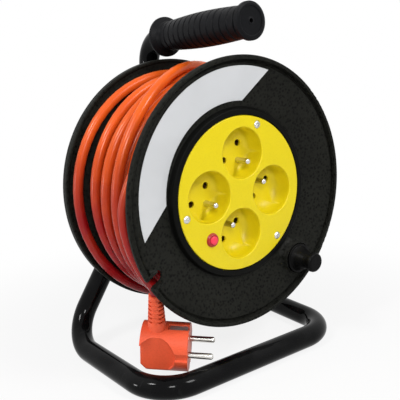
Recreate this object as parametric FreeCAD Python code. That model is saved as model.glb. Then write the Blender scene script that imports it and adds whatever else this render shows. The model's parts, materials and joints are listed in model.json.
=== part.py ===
import FreeCAD, Part
import math
import os

Vector = FreeCAD.Vector

# Extension cord reel: a drum with two dished flanges turns on an axle that a bent steel tube carries.
# Everything is drawn about the drum's axle, which runs along Y through x = 0, z = 0, with y = 0 on the front rim.
# The finished pieces are then set down so that the floor is z = 0 and the reel stands centred on the origin.

# Driving dimensions, mm
DRUM_RADIUS = 105.0
DRUM_WIDTH = 102.0
AXLE_HEIGHT = 143.0
DRUM_TURN = -3.0  # degrees that the drum stands turned at rest
CORD_RADIUS = 4.0
TUBE_RADIUS = 9.0
TUBE_WALL = 1.2
PIN_RADIUS = 2.4  # standard plug and earth pins
PIN_STEM_RADIUS = 2.1  # earth pin's shank through the well's floor
PIN_SPACING = 19.0
PIN_LENGTH = 19.0
SOCKET_RADIUS = 19.75
SOCKET_DEPTH = 15.0

# Flanges
WALL = 2.6
HUB_RADIUS = 66.8  # foot of the raised collar round the panel
DISH_RADIUS = 98.6  # where the dished face meets the rim's groove
DISH_INNER_Y = 9.2
DISH_OUTER_Y = 2.6
RIM_GROOVE_RADIUS = 101.2
FRONT_RIM_DEPTH = 3.4
REAR_RIM_DEPTH = 7.0
COLLAR_Y = 4.4
NOTCH_ANGLE = -150.0
NOTCH_WIDTH = 8.6
NOTCH_FOOT_RADIUS = 94.5

# Hub
BARREL_RADIUS = 63.0
BARREL_BORE = 60.0
BARREL_FRONT = 9.2
BARREL_REAR = 90.2
WEB_Y = 58.0
SLEEVE_RADIUS = 14.6
SLEEVE_REAR = 102.2
BUSH_RADIUS = 11.6
AXLE_RADIUS = 9.0
AXLE_CLEARANCE = 0.08
SHOULDER_Y = 104.7
FLANGE_SCREW_CIRCLE = 54.0
FLANGE_SCREW_ANGLES = (15.0, 105.0, 195.0, 285.0)

# Socket panel
PANEL_RADIUS = 60.3
PANEL_Y = 4.6
PANEL_THICKNESS = 2.5
SOCKET_CIRCLE = 31.4
SOCKET_ANGLES = {"top": 90.0, "left": 180.0, "right": 0.0, "bottom": 270.0}
EARTH_DIRECTIONS = {"top": -45.0, "left": -45.0, "right": 135.0, "bottom": 135.0}
EARTH_OFFSET = 10.0
CUP_WALL = 1.6
PANEL_SCREW_CIRCLE = 54.6
PANEL_SCREW_ANGLES = (75.0, 195.0, 315.0)
BUTTON_CIRCLE = 43.8
BUTTON_ANGLE = 228.0
BUTTON_RADIUS = 3.4
BUTTON_FRONT = 1.2
CARRIER_Y = 29.0
STRIP_Y = 37.0

# Winding knob
KNOB_CIRCLE = 85.5
KNOB_ANGLE = -45.0
KNOB_PIN_RADIUS = 3.6
KNOB_TIP = -19.0

# Label, at its place on the front flange
LABEL_CENTRE = Vector(-0.4, 0, 3.6)
LABEL_OUTER = 93.6
LABEL_INNER = 67.6
LABEL_CHORD = 47.7
LABEL_DIRECTION = 133.8
LABEL_MARGIN = 1.3
LABEL_THICKNESS = 0.3

# Wound cord
TURN_RADIUS = 88.0
TURN_PITCH = 8.6
FIRST_TURN_Y = 16.4
LAST_TURN_Y = 86.0
OVER_RADIUS = 96.7  # the last strand, which crosses over the layer
OVER_END_Y = 30.0
CORE_RADIUS = TURN_RADIUS - CORD_RADIUS

# Frame
FRAME_Y = 128.0
GRIP_TILT = 2.48
BEND_Z = 122.0
LEG_JOINT_Z = 14.0
LEG_SLOPE = 0.652
FLOOR_Z = TUBE_RADIUS - AXLE_HEIGHT
FRONT_BAR_Y = -5.0
BASE_FRONT_X = 92.0
BASE_REAR_X = 96.5
GRIP_REAR = 27.0  # measured along the handle from its bend
GRIP_FRONT = 138.2
GRIP_RIBS = 14
PLATE_Y = FRAME_Y - TUBE_RADIUS - 3.0
PLATE_THICKNESS = 3.0
POST_BOLT_Z = 40.0
LEG_BOLT_Z = -34.0
FRAME_REAR = FRAME_Y + TUBE_RADIUS + 5.0

# Plug on the free end: the middle of its pin face, the way its pins point and the way its cord leaves
PLUG_FACE = Vector(-50.4, 13.0, -114.6)
PLUG_FORWARD = Vector(0.7381, -0.6719, -0.0602)
PLUG_UP = Vector(-0.140, -0.240, 0.9605)
PLUG_RADIUS = 18.7
PLUG_DEPTH = 36.8
RELIEF_SETBACK = 25.0
RELIEF_LENGTH = 31.0
RELIEF_SLOTS = 6

MIDDLE_Y = (KNOB_TIP + FRAME_REAR) / 2
ON_FLOOR = Vector(0, -MIDDLE_Y, AXLE_HEIGHT)


def polar(radius, angle, y=0.0):
    """A point at a radius and an angle round the axle, seen from the front."""
    turn = math.radians(angle)
    return Vector(radius * math.cos(turn), y, radius * math.sin(turn))


def on_drum(radius, angle, y=0.0):
    """The same for an angle that is counted on the drum itself."""
    return polar(radius, angle + DRUM_TURN, y)


def rounded_edges(corners, closed):
    """Straight edges joined by tangent arcs, for corners given as (point, radius)."""
    edges = []
    count = len(corners)
    starts = []
    ends = []
    middles = []
    for i, (point, radius) in enumerate(corners):
        inner = closed or 0 < i < count - 1
        if radius and inner:
            back = (corners[i - 1][0] - point).normalize()
            on = (corners[(i + 1) % count][0] - point).normalize()
            half = back.getAngle(on) / 2
            reach = radius / math.tan(half)
            bisector = (back + on).normalize()
            starts.append(point + back * reach)
            ends.append(point + on * reach)
            middles.append(point + bisector * (radius / math.sin(half) - radius))
        else:
            starts.append(point)
            ends.append(point)
            middles.append(None)
    for i in range(count):
        if middles[i] is not None:
            edges.append(Part.Arc(starts[i], middles[i], ends[i]).toShape())
        following = (i + 1) % count
        if following or closed:
            if (starts[following] - ends[i]).Length > 1e-6:
                edges.append(Part.LineSegment(ends[i], starts[following]).toShape())
    return edges


def rounded_wire(corners, closed=True):
    """A wire through such corners."""
    return Part.Wire(rounded_edges(corners, closed))


def turned(outline):
    """A solid turned about the axle from an outline of (radius, y) or (radius, y, corner radius)."""
    corners = [(Vector(p[0], p[1], 0), p[2] if len(p) > 2 else 0) for p in outline]
    face = Part.Face(rounded_wire(corners))
    return face.revolve(Vector(0, 0, 0), Vector(0, 1, 0), 360)


def plate(outline, y_front, y_back):
    """A plate square to the axle from an outline of (x, z, corner radius)."""
    corners = [(Vector(x, y_front, z), radius) for x, z, radius in outline]
    return Part.Face(rounded_wire(corners)).extrude(Vector(0, y_back - y_front, 0))


def rod(radius, y_front, y_back, at=Vector(0, 0, 0)):
    """A round rod along the axle's direction."""
    return Part.makeCylinder(radius, y_back - y_front, Vector(at.x, y_front, at.z), Vector(0, 1, 0))


def ring(outer, inner, y_front, y_back, at=Vector(0, 0, 0)):
    """A round tube along the axle's direction."""
    return rod(outer, y_front, y_back, at).cut(rod(inner, y_front - 1, y_back + 1, at))


def hexagon(across_flats, y_front, y_back, at):
    """A hexagonal head or nut."""
    corner = across_flats / math.sqrt(3)
    outline = []
    for i in range(6):
        point = polar(corner, 60 * i)
        outline.append((at.x + point.x, at.z + point.z, 0))
    return plate(outline, y_front, y_back)


def fused(shapes):
    """One solid from shapes that touch."""
    return shapes[0].multiFuse(shapes[1:]).removeSplitter()


def spun(shape, angle):
    """A copy turned round the axle by an angle seen from the front."""
    copy = shape.copy()
    copy.rotate(Vector(0, 0, 0), Vector(0, 1, 0), -angle)
    return copy


def moved(shape, offset):
    """A copy moved by an offset."""
    copy = shape.copy()
    copy.translate(offset)
    return copy


def swept(path, radius):
    """A round bar along a path."""
    start = path.Edges[0].valueAt(path.Edges[0].FirstParameter)
    towards = path.Edges[0].tangentAt(path.Edges[0].FirstParameter)
    profile = Part.Wire(Part.Circle(start, towards, radius).toShape())
    pipe = Part.BRepOffsetAPI.MakePipeShell(path)
    pipe.add(profile)
    pipe.build()
    pipe.makeSolid()
    return pipe.shape()


def write(name, *shapes):
    """Sets the pieces of one node on the floor and writes them."""
    solids = [solid for shape in shapes for solid in shape.Solids]
    node = solids[0] if len(solids) == 1 else Part.makeCompound(solids)
    moved(node, ON_FLOOR).exportStep(f"parts/{name}.step")


# Flanges


def dish_y(radius):
    """Front face of the front flange's dish at a radius."""
    slope = (DISH_INNER_Y - DISH_OUTER_Y) / (DISH_RADIUS - HUB_RADIUS)
    return DISH_INNER_Y - (radius - HUB_RADIUS) * slope


def dish_shell(depth):
    """The skin of the dish down to a depth."""
    inner = HUB_RADIUS + 0.4
    outer = DISH_RADIUS
    return turned(
        [
            (inner, dish_y(inner) - 1),
            (outer, dish_y(outer) - 1),
            (outer, dish_y(outer) + depth),
            (inner, dish_y(inner) + depth),
        ]
    )


def label_prism(margin):
    """A ring sector, wider than the label by a margin, cut off along the label's straight edge."""
    sector = ring(LABEL_OUTER + margin, LABEL_INNER - margin, 0, 20, LABEL_CENTRE)
    block = Part.makeBox(300, 40, 300, Vector(LABEL_CHORD - margin, -10, -150))
    return sector.common(spun(block, LABEL_DIRECTION))


def knob_seat():
    """Raised ring on the front flange that the knob's foot sits in."""
    at = on_drum(KNOB_CIRCLE, KNOB_ANGLE)
    boss = rod(13.7, 1.2, 12, at)
    behind = turned([(60, -5), (DRUM_RADIUS, -5), (DRUM_RADIUS, dish_y(DRUM_RADIUS) + WALL), (60, dish_y(60) + WALL)])
    return boss.common(behind)


def notch_lips():
    """Two ribs along the cord notch in the rim."""
    lips = []
    for side in (-1, 1):
        box = Part.makeBox(10, 5.0, 2.0, Vector(NOTCH_FOOT_RADIUS - 1, 0.8, -1 + side * (NOTCH_WIDTH / 2 + 1)))
        lips.append(spun(box, NOTCH_ANGLE))
    return lips


def front_flange():
    """Dished disc with a rolled rim, a collar round the panel, a knob seat, a cord notch and a label recess."""
    rim = RIM_GROOVE_RADIUS
    body = turned(
        [
            (58.4, PANEL_Y + PANEL_THICKNESS),
            (PANEL_RADIUS + 0.5, PANEL_Y + PANEL_THICKNESS),
            (PANEL_RADIUS + 0.5, COLLAR_Y, 0.5),
            (HUB_RADIUS - 1.6, COLLAR_Y, 1.4),
            (HUB_RADIUS, DISH_INNER_Y, 0.8),
            (DISH_RADIUS, DISH_OUTER_Y),
            (DISH_RADIUS + 0.8, DISH_OUTER_Y + 1.5),
            (rim, DISH_OUTER_Y + 1.5),
            (rim + 0.5, 0, 0.6),
            (DRUM_RADIUS, 0, 1.6),
            (DRUM_RADIUS, FRONT_RIM_DEPTH, 0.8),
            (rim, DISH_OUTER_Y + WALL + 1.4),
            (DISH_RADIUS, DISH_OUTER_Y + WALL),
            (HUB_RADIUS, DISH_INNER_Y + WALL),
            (BARREL_RADIUS + 0.2, DISH_INNER_Y + WALL),
            (BARREL_RADIUS + 0.2, BARREL_FRONT),
            (58.4, BARREL_FRONT),
        ]
    )
    seat = on_drum(KNOB_CIRCLE, KNOB_ANGLE)
    body = fused([body, knob_seat(), *notch_lips()])
    body = body.cut(rod(12.7, 0, 3.2, seat))
    body = body.cut(rod(KNOB_PIN_RADIUS, 0, 20, seat))
    slot = Part.makeBox(20, 20, NOTCH_WIDTH, Vector(NOTCH_FOOT_RADIUS, -5, -NOTCH_WIDTH / 2))
    slot = slot.fuse(rod(NOTCH_WIDTH / 2, -5, 15, Vector(NOTCH_FOOT_RADIUS, 0, 0)))
    body = body.cut(spun(slot, NOTCH_ANGLE))
    return body.cut(dish_shell(LABEL_THICKNESS).common(label_prism(LABEL_MARGIN)))


def label():
    """Bare label in its recess."""
    skin = dish_shell(LABEL_THICKNESS).cut(dish_shell(0))
    return skin.common(label_prism(0))


def rear_flange():
    """The other dished disc, closed in the middle and ribbed behind."""
    face = DRUM_WIDTH - DISH_INNER_Y
    rim = RIM_GROOVE_RADIUS
    body = turned(
        [
            (SLEEVE_RADIUS + 0.2, BARREL_REAR),
            (HUB_RADIUS, BARREL_REAR),
            (DISH_RADIUS, DRUM_WIDTH - DISH_OUTER_Y - WALL),
            (rim + 1, DRUM_WIDTH - DISH_OUTER_Y - WALL),
            (rim + 1, DRUM_WIDTH - REAR_RIM_DEPTH, 0.8),
            (DRUM_RADIUS, DRUM_WIDTH - REAR_RIM_DEPTH, 1.2),
            (DRUM_RADIUS, DRUM_WIDTH, 1.6),
            (rim + 0.5, DRUM_WIDTH, 0.6),
            (rim, DRUM_WIDTH - DISH_OUTER_Y - 1.5),
            (DISH_RADIUS + 0.8, DRUM_WIDTH - DISH_OUTER_Y - 1.5),
            (DISH_RADIUS, DRUM_WIDTH - DISH_OUTER_Y),
            (HUB_RADIUS, face, 0.8),
            (HUB_RADIUS - 1.6, DRUM_WIDTH - COLLAR_Y, 1.4),
            (HUB_RADIUS - 4.0, DRUM_WIDTH - COLLAR_Y, 0.8),
            (HUB_RADIUS - 4.6, face),
            (SLEEVE_RADIUS + 3.4, face),
            (SLEEVE_RADIUS + 3.4, DRUM_WIDTH - 2.5),
            (SLEEVE_RADIUS + 0.2, DRUM_WIDTH - 2.5),
        ]
    )
    spigot = ring(BARREL_BORE - 0.2, BARREL_BORE - 1.8, BARREL_REAR - 3, BARREL_REAR + 1)
    rib = Part.makeBox(HUB_RADIUS - 4.2 - SLEEVE_RADIUS - 3, 4.2, 1.8, Vector(SLEEVE_RADIUS + 3, face - 0.2, -0.9))
    ribs = [spun(rib, 30 * i + DRUM_TURN) for i in range(12)]
    body = fused([body, spigot, *ribs])
    for angle in FLANGE_SCREW_ANGLES:
        body = body.cut(rod(1.8, 80, 110, on_drum(FLANGE_SCREW_CIRCLE, angle)))
    return body


# Hub


def hub_barrel():
    """Barrel that joins the flanges, with its web, bearing sleeve, ribs and screw bosses."""
    parts = [
        ring(BARREL_RADIUS, BARREL_BORE, BARREL_FRONT, BARREL_REAR),
        ring(BARREL_BORE + 1, BUSH_RADIUS, WEB_Y, WEB_Y + WALL),
        ring(SLEEVE_RADIUS, BUSH_RADIUS, WEB_Y, SLEEVE_REAR),
    ]
    rib = Part.makeBox(BARREL_BORE + 0.5 - SLEEVE_RADIUS + 0.5, 20, 2, Vector(SLEEVE_RADIUS - 0.5, WEB_Y + 1, -1))
    parts += [spun(rib, 60 * i + DRUM_TURN) for i in range(6)]
    tie = Part.makeBox(5, WEB_Y - PANEL_Y - 12, 2, Vector(BARREL_BORE - 4.5, PANEL_Y + 13, -1))
    for angle in PANEL_SCREW_ANGLES:
        at = on_drum(PANEL_SCREW_CIRCLE, angle)
        parts.append(rod(3.4, PANEL_Y + PANEL_THICKNESS, WEB_Y + 1, at))
        parts.append(spun(tie, angle + DRUM_TURN))
    for angle in FLANGE_SCREW_ANGLES:
        parts.append(rod(4.0, WEB_Y + 1, BARREL_REAR, on_drum(FLANGE_SCREW_CIRCLE, angle)))
    for angle in (45.0, 165.0, 285.0):
        parts.append(rod(3.0, CARRIER_Y + 4, WEB_Y + 1, on_drum(46.0, angle)))
    body = fused(parts)
    for angle in PANEL_SCREW_ANGLES:
        body = body.cut(rod(1.3, 0, 24, on_drum(PANEL_SCREW_CIRCLE, angle)))
    for angle in FLANGE_SCREW_ANGLES:
        body = body.cut(rod(1.3, 76, 100, on_drum(FLANGE_SCREW_CIRCLE, angle)))
    entry = Part.makeCylinder(CORD_RADIUS + 0.6, 10, Vector(0, 0, 0), Vector(1, 0, 0))
    entry.translate(Vector(BARREL_BORE - 4, 44, 0))
    return body.cut(spun(entry, 120))


def bearing_bush():
    """Plain bush pressed into the sleeve, with a thrust collar behind."""
    inner = AXLE_RADIUS + AXLE_CLEARANCE
    return turned(
        [
            (inner, WEB_Y),
            (BUSH_RADIUS, WEB_Y),
            (BUSH_RADIUS, SLEEVE_REAR),
            (SLEEVE_RADIUS, SLEEVE_REAR),
            (SLEEVE_RADIUS, SLEEVE_REAR + 1.2),
            (inner, SLEEVE_REAR + 1.2),
        ]
    )


def screw(head_radius, head_height, shank_radius, length):
    """A round-headed screw that points along +Y, its head's seat at y = 0, with a cross slot in its head."""
    body = turned(
        [
            (0, -head_height),
            (head_radius * 0.7, -head_height, head_height * 0.4),
            (head_radius, -head_height * 0.4),
            (head_radius, 0),
            (shank_radius, 0),
            (shank_radius, length),
            (0, length),
        ]
    )
    slot = Part.makeBox(head_radius * 1.1, head_height * 0.5, 0.9, Vector(-head_radius * 0.55, -head_height, -0.45))
    return body.cut(slot).cut(spun(slot, 90))


def flange_screws():
    """Four screws from behind through the rear flange into the barrel."""
    piece = screw(3.4, 2.6, 1.3, 14)
    piece.rotate(Vector(0, 0, 0), Vector(0, 0, 1), 180)
    return [moved(piece, on_drum(FLANGE_SCREW_CIRCLE, a, DRUM_WIDTH - DISH_INNER_Y)) for a in FLANGE_SCREW_ANGLES]


def panel_screws():
    """Three cross-headed screws that hold the panel."""
    piece = screw(3.0, 1.4, 1.3, 13)
    return [moved(piece, on_drum(PANEL_SCREW_CIRCLE, angle, PANEL_Y + 0.7)) for angle in PANEL_SCREW_ANGLES]


def cord_clamp():
    """Saddle with two screws that grips the cord's inner end beside its entry hole."""
    block = Part.makeBox(8, 20, 26, Vector(BARREL_BORE - 13, 34, -13))
    groove = Part.makeCylinder(CORD_RADIUS, 12, Vector(BARREL_BORE - 15, 44, 0), Vector(1, 0, 0))
    return spun(block.cut(groove), 120)


# Socket panel


def socket_centre(name):
    """Middle of a socket."""
    return on_drum(SOCKET_CIRCLE, SOCKET_ANGLES[name])


def earth_place(name):
    """Middle of a socket's earth pin."""
    return socket_centre(name) + on_drum(EARTH_OFFSET, EARTH_DIRECTIONS[name])


def contact_places(towards_hub):
    """One contact hole of each socket: the four nearer the axle, or the four further out."""
    places = []
    for name in SOCKET_ANGLES:
        across = on_drum(PIN_SPACING / 2, 45.0)
        pair = [socket_centre(name) + across, socket_centre(name) - across]
        pair.sort(key=lambda point: point.Length)
        places.append(pair[0] if towards_hub else pair[1])
    return places


def socket_panel():
    """Round panel with four deep wells, contact holes, screw recesses and the button's hole."""
    floor = PANEL_Y + SOCKET_DEPTH
    back = PANEL_Y + PANEL_THICKNESS
    disc = turned([(0, PANEL_Y), (PANEL_RADIUS, PANEL_Y, 0.9), (PANEL_RADIUS, back), (0, back)])
    cups = [rod(SOCKET_RADIUS + CUP_WALL, back - 1, floor + CUP_WALL, socket_centre(name)) for name in SOCKET_ANGLES]
    body = fused([disc, *cups])
    for name in SOCKET_ANGLES:
        body = body.cut(rod(SOCKET_RADIUS, 0, floor, socket_centre(name)))
        body = body.cut(rod(PIN_STEM_RADIUS, floor - 1, floor + 5, earth_place(name)))
    rims = [e for e in body.Edges if len(e.Vertexes) == 1 and abs(e.Vertexes[0].Y - PANEL_Y) < 1e-6]
    rims = [e for e in rims if abs(e.Curve.Radius - SOCKET_RADIUS) < 1e-6]
    body = body.makeFillet(1.1, rims)
    for place in contact_places(True) + contact_places(False):
        body = body.cut(rod(2.7, floor - 1, floor + 5, place))
    for angle in PANEL_SCREW_ANGLES:
        at = on_drum(PANEL_SCREW_CIRCLE, angle)
        body = body.cut(rod(1.5, 0, 10, at))
        body = body.cut(rod(3.2, 0, PANEL_Y + 0.7, at))
    return body.cut(rod(4.9, 0, 10, on_drum(BUTTON_CIRCLE, BUTTON_ANGLE)))


def earth_pin(name):
    """Round-ended earth pin, its shoulder on the well's floor and riveted behind it."""
    floor = PANEL_Y + SOCKET_DEPTH
    pin = turned(
        [
            (0, PANEL_Y + 1),
            (PIN_RADIUS, PANEL_Y + 1, 1.9),
            (PIN_RADIUS, floor),
            (PIN_STEM_RADIUS, floor),
            (PIN_STEM_RADIUS, floor + CUP_WALL + 0.2),
            (1.8, floor + CUP_WALL + 0.2),
            (1.8, floor + CUP_WALL + 2.2),
            (0, floor + CUP_WALL + 2.2),
        ]
    )
    return moved(pin, earth_place(name))


def earth_strip():
    """Four-armed strip that joins the earth pins."""
    front = PANEL_Y + SOCKET_DEPTH + CUP_WALL + 0.2
    arms = [rod(7.0, front, front + 1)]
    for name in SOCKET_ANGLES:
        place = earth_place(name)
        angle = math.degrees(math.atan2(place.z, place.x))
        reach = place.Length
        arms.append(spun(Part.makeBox(reach, 1, 6, Vector(0, front, -3)), angle))
        arms.append(rod(3.0, front, front + 1, place))
    body = fused(arms)
    for name in SOCKET_ANGLES:
        body = body.cut(rod(1.8, front - 1, front + 3, earth_place(name)))
    return body


def contact_set(towards_hub):
    """Four spring sleeves behind the contact holes on one ring-shaped strip."""
    places = contact_places(towards_hub)
    reach = places[0].Length
    front = PANEL_Y + SOCKET_DEPTH + CUP_WALL + 0.4
    parts = [ring(reach + 2.6, reach - 2.6, STRIP_Y, STRIP_Y + 1)]
    parts += [rod(3.6, front, STRIP_Y + 1, place) for place in places]
    body = fused(parts)
    for place in places:
        body = body.cut(rod(2.6, front - 1, STRIP_Y - 0.5, place))
        body = body.cut(Part.makeBox(8, 9, 0.7, Vector(place.x - 4, front - 0.1, place.z - 0.35)))
    return body


def contact_carrier():
    """Plate on three pegs of the web that steadies the contact sleeves."""
    body = rod(50.5, CARRIER_Y, CARRIER_Y + 4)
    for place in contact_places(True) + contact_places(False):
        body = body.cut(rod(3.7, 0, 60, place))
    return body.cut(rod(8.0, 0, 60, on_drum(BUTTON_CIRCLE, BUTTON_ANGLE)))


def thermal_cutout():
    """Thermal cut-out behind the button, with a bore for the button's stem and two blades."""
    back = PANEL_Y + PANEL_THICKNESS
    body = rod(7.4, back, 33).cut(rod(3.7, back - 1, 20))
    blades = [Part.makeBox(0.8, 4, 4.8, Vector(x - 0.4, 32.5, -2.4)) for x in (-4, 4)]
    body = fused([body, *blades])
    return moved(body, on_drum(BUTTON_CIRCLE, BUTTON_ANGLE))


def button_bezel():
    """Ring round the button, its neck through the panel."""
    ring_body = turned(
        [
            (3.7, 2.6),
            (4.6, 2.6, 0.6),
            (5.5, PANEL_Y),
            (4.8, PANEL_Y),
            (4.8, PANEL_Y + PANEL_THICKNESS),
            (3.7, PANEL_Y + PANEL_THICKNESS),
        ]
    )
    return moved(ring_body, on_drum(BUTTON_CIRCLE, BUTTON_ANGLE))


def reset_button():
    """Domed button with its stem."""
    dome = turned(
        [
            (0, BUTTON_FRONT),
            (BUTTON_RADIUS, BUTTON_FRONT, 1.2),
            (BUTTON_RADIUS, 12.0),
            (0, 12.0),
        ]
    )
    return moved(dome, on_drum(BUTTON_CIRCLE, BUTTON_ANGLE))


def button_spring():
    """Return spring in the cut-out's bore, as the sleeve that its coils fill."""
    return ring(2.9, 2.2, 12.1, 20.0, on_drum(BUTTON_CIRCLE, BUTTON_ANGLE))


# Winding knob


def knob_pin():
    """Pin riveted in the flange, with a bulb that the knob snaps over."""
    back = dish_y(KNOB_CIRCLE) + WALL - 1.0
    pin = turned(
        [
            (0, -13.0),
            (4.4, -13.0, 0.8),
            (4.4, -10.4, 0.5),
            (KNOB_PIN_RADIUS, -9.4),
            (KNOB_PIN_RADIUS, back),
            (0, back),
        ]
    )
    return moved(pin, on_drum(KNOB_CIRCLE, KNOB_ANGLE))


def winding_knob():
    """Waisted knob with a broad foot and a domed end, hollow over its pin."""
    bore = KNOB_PIN_RADIUS + 0.08
    knob = turned(
        [
            (0, KNOB_TIP),
            (7.6, KNOB_TIP, 3.2),
            (8.2, -14.0, 2.0),
            (6.6, -6.0, 4.0),
            (7.6, -1.4, 1.5),
            (12.2, -0.2, 0.8),
            (12.2, 2.9, 0.5),
            (bore, 2.9),
            (bore, -9.2),
            (4.8, -10.0),
            (4.8, -13.4),
            (0, -13.4),
        ]
    )
    return moved(knob, on_drum(KNOB_CIRCLE, KNOB_ANGLE))


# Wound cord


def cord_core():
    """The inner layers of the wound cord, as the sleeve that they fill."""
    front = DISH_INNER_Y + WALL + 0.3
    rear = BARREL_REAR - 0.3
    return turned(
        [
            (BARREL_RADIUS + 0.3, front),
            (CORE_RADIUS, front, 2.0),
            (CORE_RADIUS, rear, 2.0),
            (BARREL_RADIUS + 0.3, rear),
        ]
    )


def smooth(value):
    """Runs from 0 to 1 with a gentle start and end."""
    value = min(max(value, 0.0), 1.0)
    return value * value * (3 - 2 * value)


def turn_state(quarter, quarters):
    """Radius and y of the winding after some quarter turns: even turns, a climb, then a crossing strand."""
    even = quarters - 2
    y = FIRST_TURN_Y + (LAST_TURN_Y - FIRST_TURN_Y) * min(quarter, even) / even
    radius = TURN_RADIUS + (OVER_RADIUS - TURN_RADIUS) * smooth(quarter - even)
    y += (OVER_END_Y - LAST_TURN_Y) * smooth(quarter - even - 1)
    return radius, y


def turn_point(quarter, quarters, last_angle):
    """A point of the winding, its angle counted back from where the last strand ends."""
    radius, y = turn_state(quarter, quarters)
    return polar(radius, last_angle - 90 * (quarters - quarter), y)


def biarc(start, start_way, end, end_way):
    """Two tangent arcs between two points with given directions, as their joints and middles."""
    span = end - start
    ways = start_way + end_way
    spread = 2 * (1 - start_way.dot(end_way))
    reach = (-span.dot(ways) + math.sqrt(span.dot(ways) ** 2 + spread * span.dot(span))) / spread
    joint = (start + end + (start_way - end_way) * reach) * 0.5
    arcs = []
    for first, second, corner in ((start, joint, start + start_way * reach), (joint, end, end - end_way * reach)):
        middle = (first + second) * 0.5
        half = (second - first).Length / 2
        lean = math.acos(min(1.0, half / reach))
        bulge = half * math.tan(lean / 2)
        arcs.append((first, middle + (corner - middle).normalize() * bulge, second))
    return arcs


def cord_turns():
    """The outer layer as one unbroken cord: even turns from front to rear, then a strand that crosses back."""
    even = round((LAST_TURN_Y - FIRST_TURN_Y) / TURN_PITCH * 4)
    quarters = even + 2
    last_angle = 168.0
    step = 1e-3
    points = [turn_point(i, quarters, last_angle) for i in range(quarters + 1)]
    ways = []
    for i in range(quarters + 1):
        before = turn_point(i - step, quarters, last_angle)
        after = turn_point(i + step, quarters, last_angle)
        ways.append((after - before).normalize())
    start = points[0] - ways[0] * (2 * CORD_RADIUS)
    edges = [Part.LineSegment(start, points[0]).toShape()]
    for i in range(quarters):
        for arc in biarc(points[i], ways[i], points[i + 1], ways[i + 1]):
            edges.append(Part.Arc(*arc).toShape())
    end = points[-1] + ways[-1] * (2 * CORD_RADIUS)
    edges.append(Part.LineSegment(points[-1], end).toShape())
    path = Part.Wire(edges)
    print("winding: turns", quarters / 4, "length", round(path.Length), "least gap", least_gap(path))
    return swept(path, CORD_RADIUS)


def least_gap(path):
    """Least gap between strands of the winding, measured on points of its middle line."""
    points = path.discretize(Number=720)
    spacing = path.Length / 719
    skip = int(math.pi * TURN_RADIUS / spacing)
    least = 1e9
    for i, point in enumerate(points):
        for other in points[i + skip:]:
            least = min(least, point.distanceToPoint(other))
    return round(least - 2 * CORD_RADIUS, 2)


# Frame


def handle_place(shape):
    """Places a shape drawn along -Y from the handle's bend."""
    copy = shape.copy()
    copy.rotate(Vector(0, 0, 0), Vector(1, 0, 0), -GRIP_TILT)
    return moved(copy, Vector(0, FRAME_Y, BEND_Z))


def leg_point(z, side):
    """A point of a leg's middle line at a height."""
    return Vector(side * (LEG_JOINT_Z - z) * LEG_SLOPE, FRAME_Y, z)


def frame_corners():
    """Corners of the tube: handle, post, left leg, floor loop, right leg."""
    tilt = math.radians(GRIP_TILT)
    reach = GRIP_FRONT - 4.2
    handle_end = Vector(0, FRAME_Y - reach * math.cos(tilt), BEND_Z + reach * math.sin(tilt))
    return [
        (handle_end, 0),
        (Vector(0, FRAME_Y, BEND_Z), 22.0),
        (Vector(0, FRAME_Y, LEG_JOINT_Z), 40.0),
        (Vector(-BASE_REAR_X, FRAME_Y, FLOOR_Z), 32.0),
        (Vector(-BASE_FRONT_X, FRONT_BAR_Y, FLOOR_Z), 33.0),
        (Vector(BASE_FRONT_X, FRONT_BAR_Y, FLOOR_Z), 33.0),
        (Vector(BASE_REAR_X, FRAME_Y, FLOOR_Z), 32.0),
        (leg_point(-8.0, 1), 0),
    ]


def bolt_places():
    """The three bolts of the bearing plate: one in the post and one in each leg."""
    return [Vector(0, FRAME_Y, POST_BOLT_Z), leg_point(LEG_BOLT_Z, -1), leg_point(LEG_BOLT_Z, 1)]


def frame_tube():
    """The bent tube in one length."""
    path = rounded_wire(frame_corners(), closed=False)
    body = swept(path, TUBE_RADIUS).cut(swept(path, TUBE_RADIUS - TUBE_WALL))
    for place in bolt_places():
        body = body.cut(rod(3.2, 100, 150, place))
    return body


def tube_end_cap():
    """Plug in the open end of the right leg."""
    end = leg_point(-8.0, 1)
    up = (leg_point(0, 1) - leg_point(-100, 1)).normalize()
    stem = Part.makeCylinder(TUBE_RADIUS - TUBE_WALL, 10, end - up * 10, up)
    head = Part.makeCylinder(TUBE_RADIUS, 2, end, up)
    return stem.fuse(head)


def grip():
    """Ribbed sleeve over the handle with a flare behind and a closed front disc."""
    first = GRIP_REAR + 9
    last = GRIP_FRONT - 7
    pitch = (last - first) / (GRIP_RIBS - 1)

    def belly(along):
        return 11.8 + 1.9 * math.sin(math.pi * (along - first) / (last - first))

    outline = [
        (TUBE_RADIUS, GRIP_REAR),
        (16.5, GRIP_REAR, 1.2),
        (16.5, GRIP_REAR + 3.0, 1.2),
        (12.6, GRIP_REAR + 5.5, 1.0),
    ]
    for i in range(GRIP_RIBS):
        along = first + pitch * i
        radius = belly(along)
        outline += [(radius, along - 1.0), (radius - 1.1, along - 0.5)]
        outline += [(radius - 1.1, along + 0.5), (radius, along + 1.0)]
    outline += [
        (11.9, GRIP_FRONT - 4.6),
        (13.9, GRIP_FRONT - 3.6, 0.6),
        (13.9, GRIP_FRONT, 1.0),
        (2.5, GRIP_FRONT),
        (2.5, GRIP_FRONT - 4.0),
        (TUBE_RADIUS, GRIP_FRONT - 4.0),
    ]
    return handle_place(turned([(p[0], -p[1], *p[2:]) for p in outline]))


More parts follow.
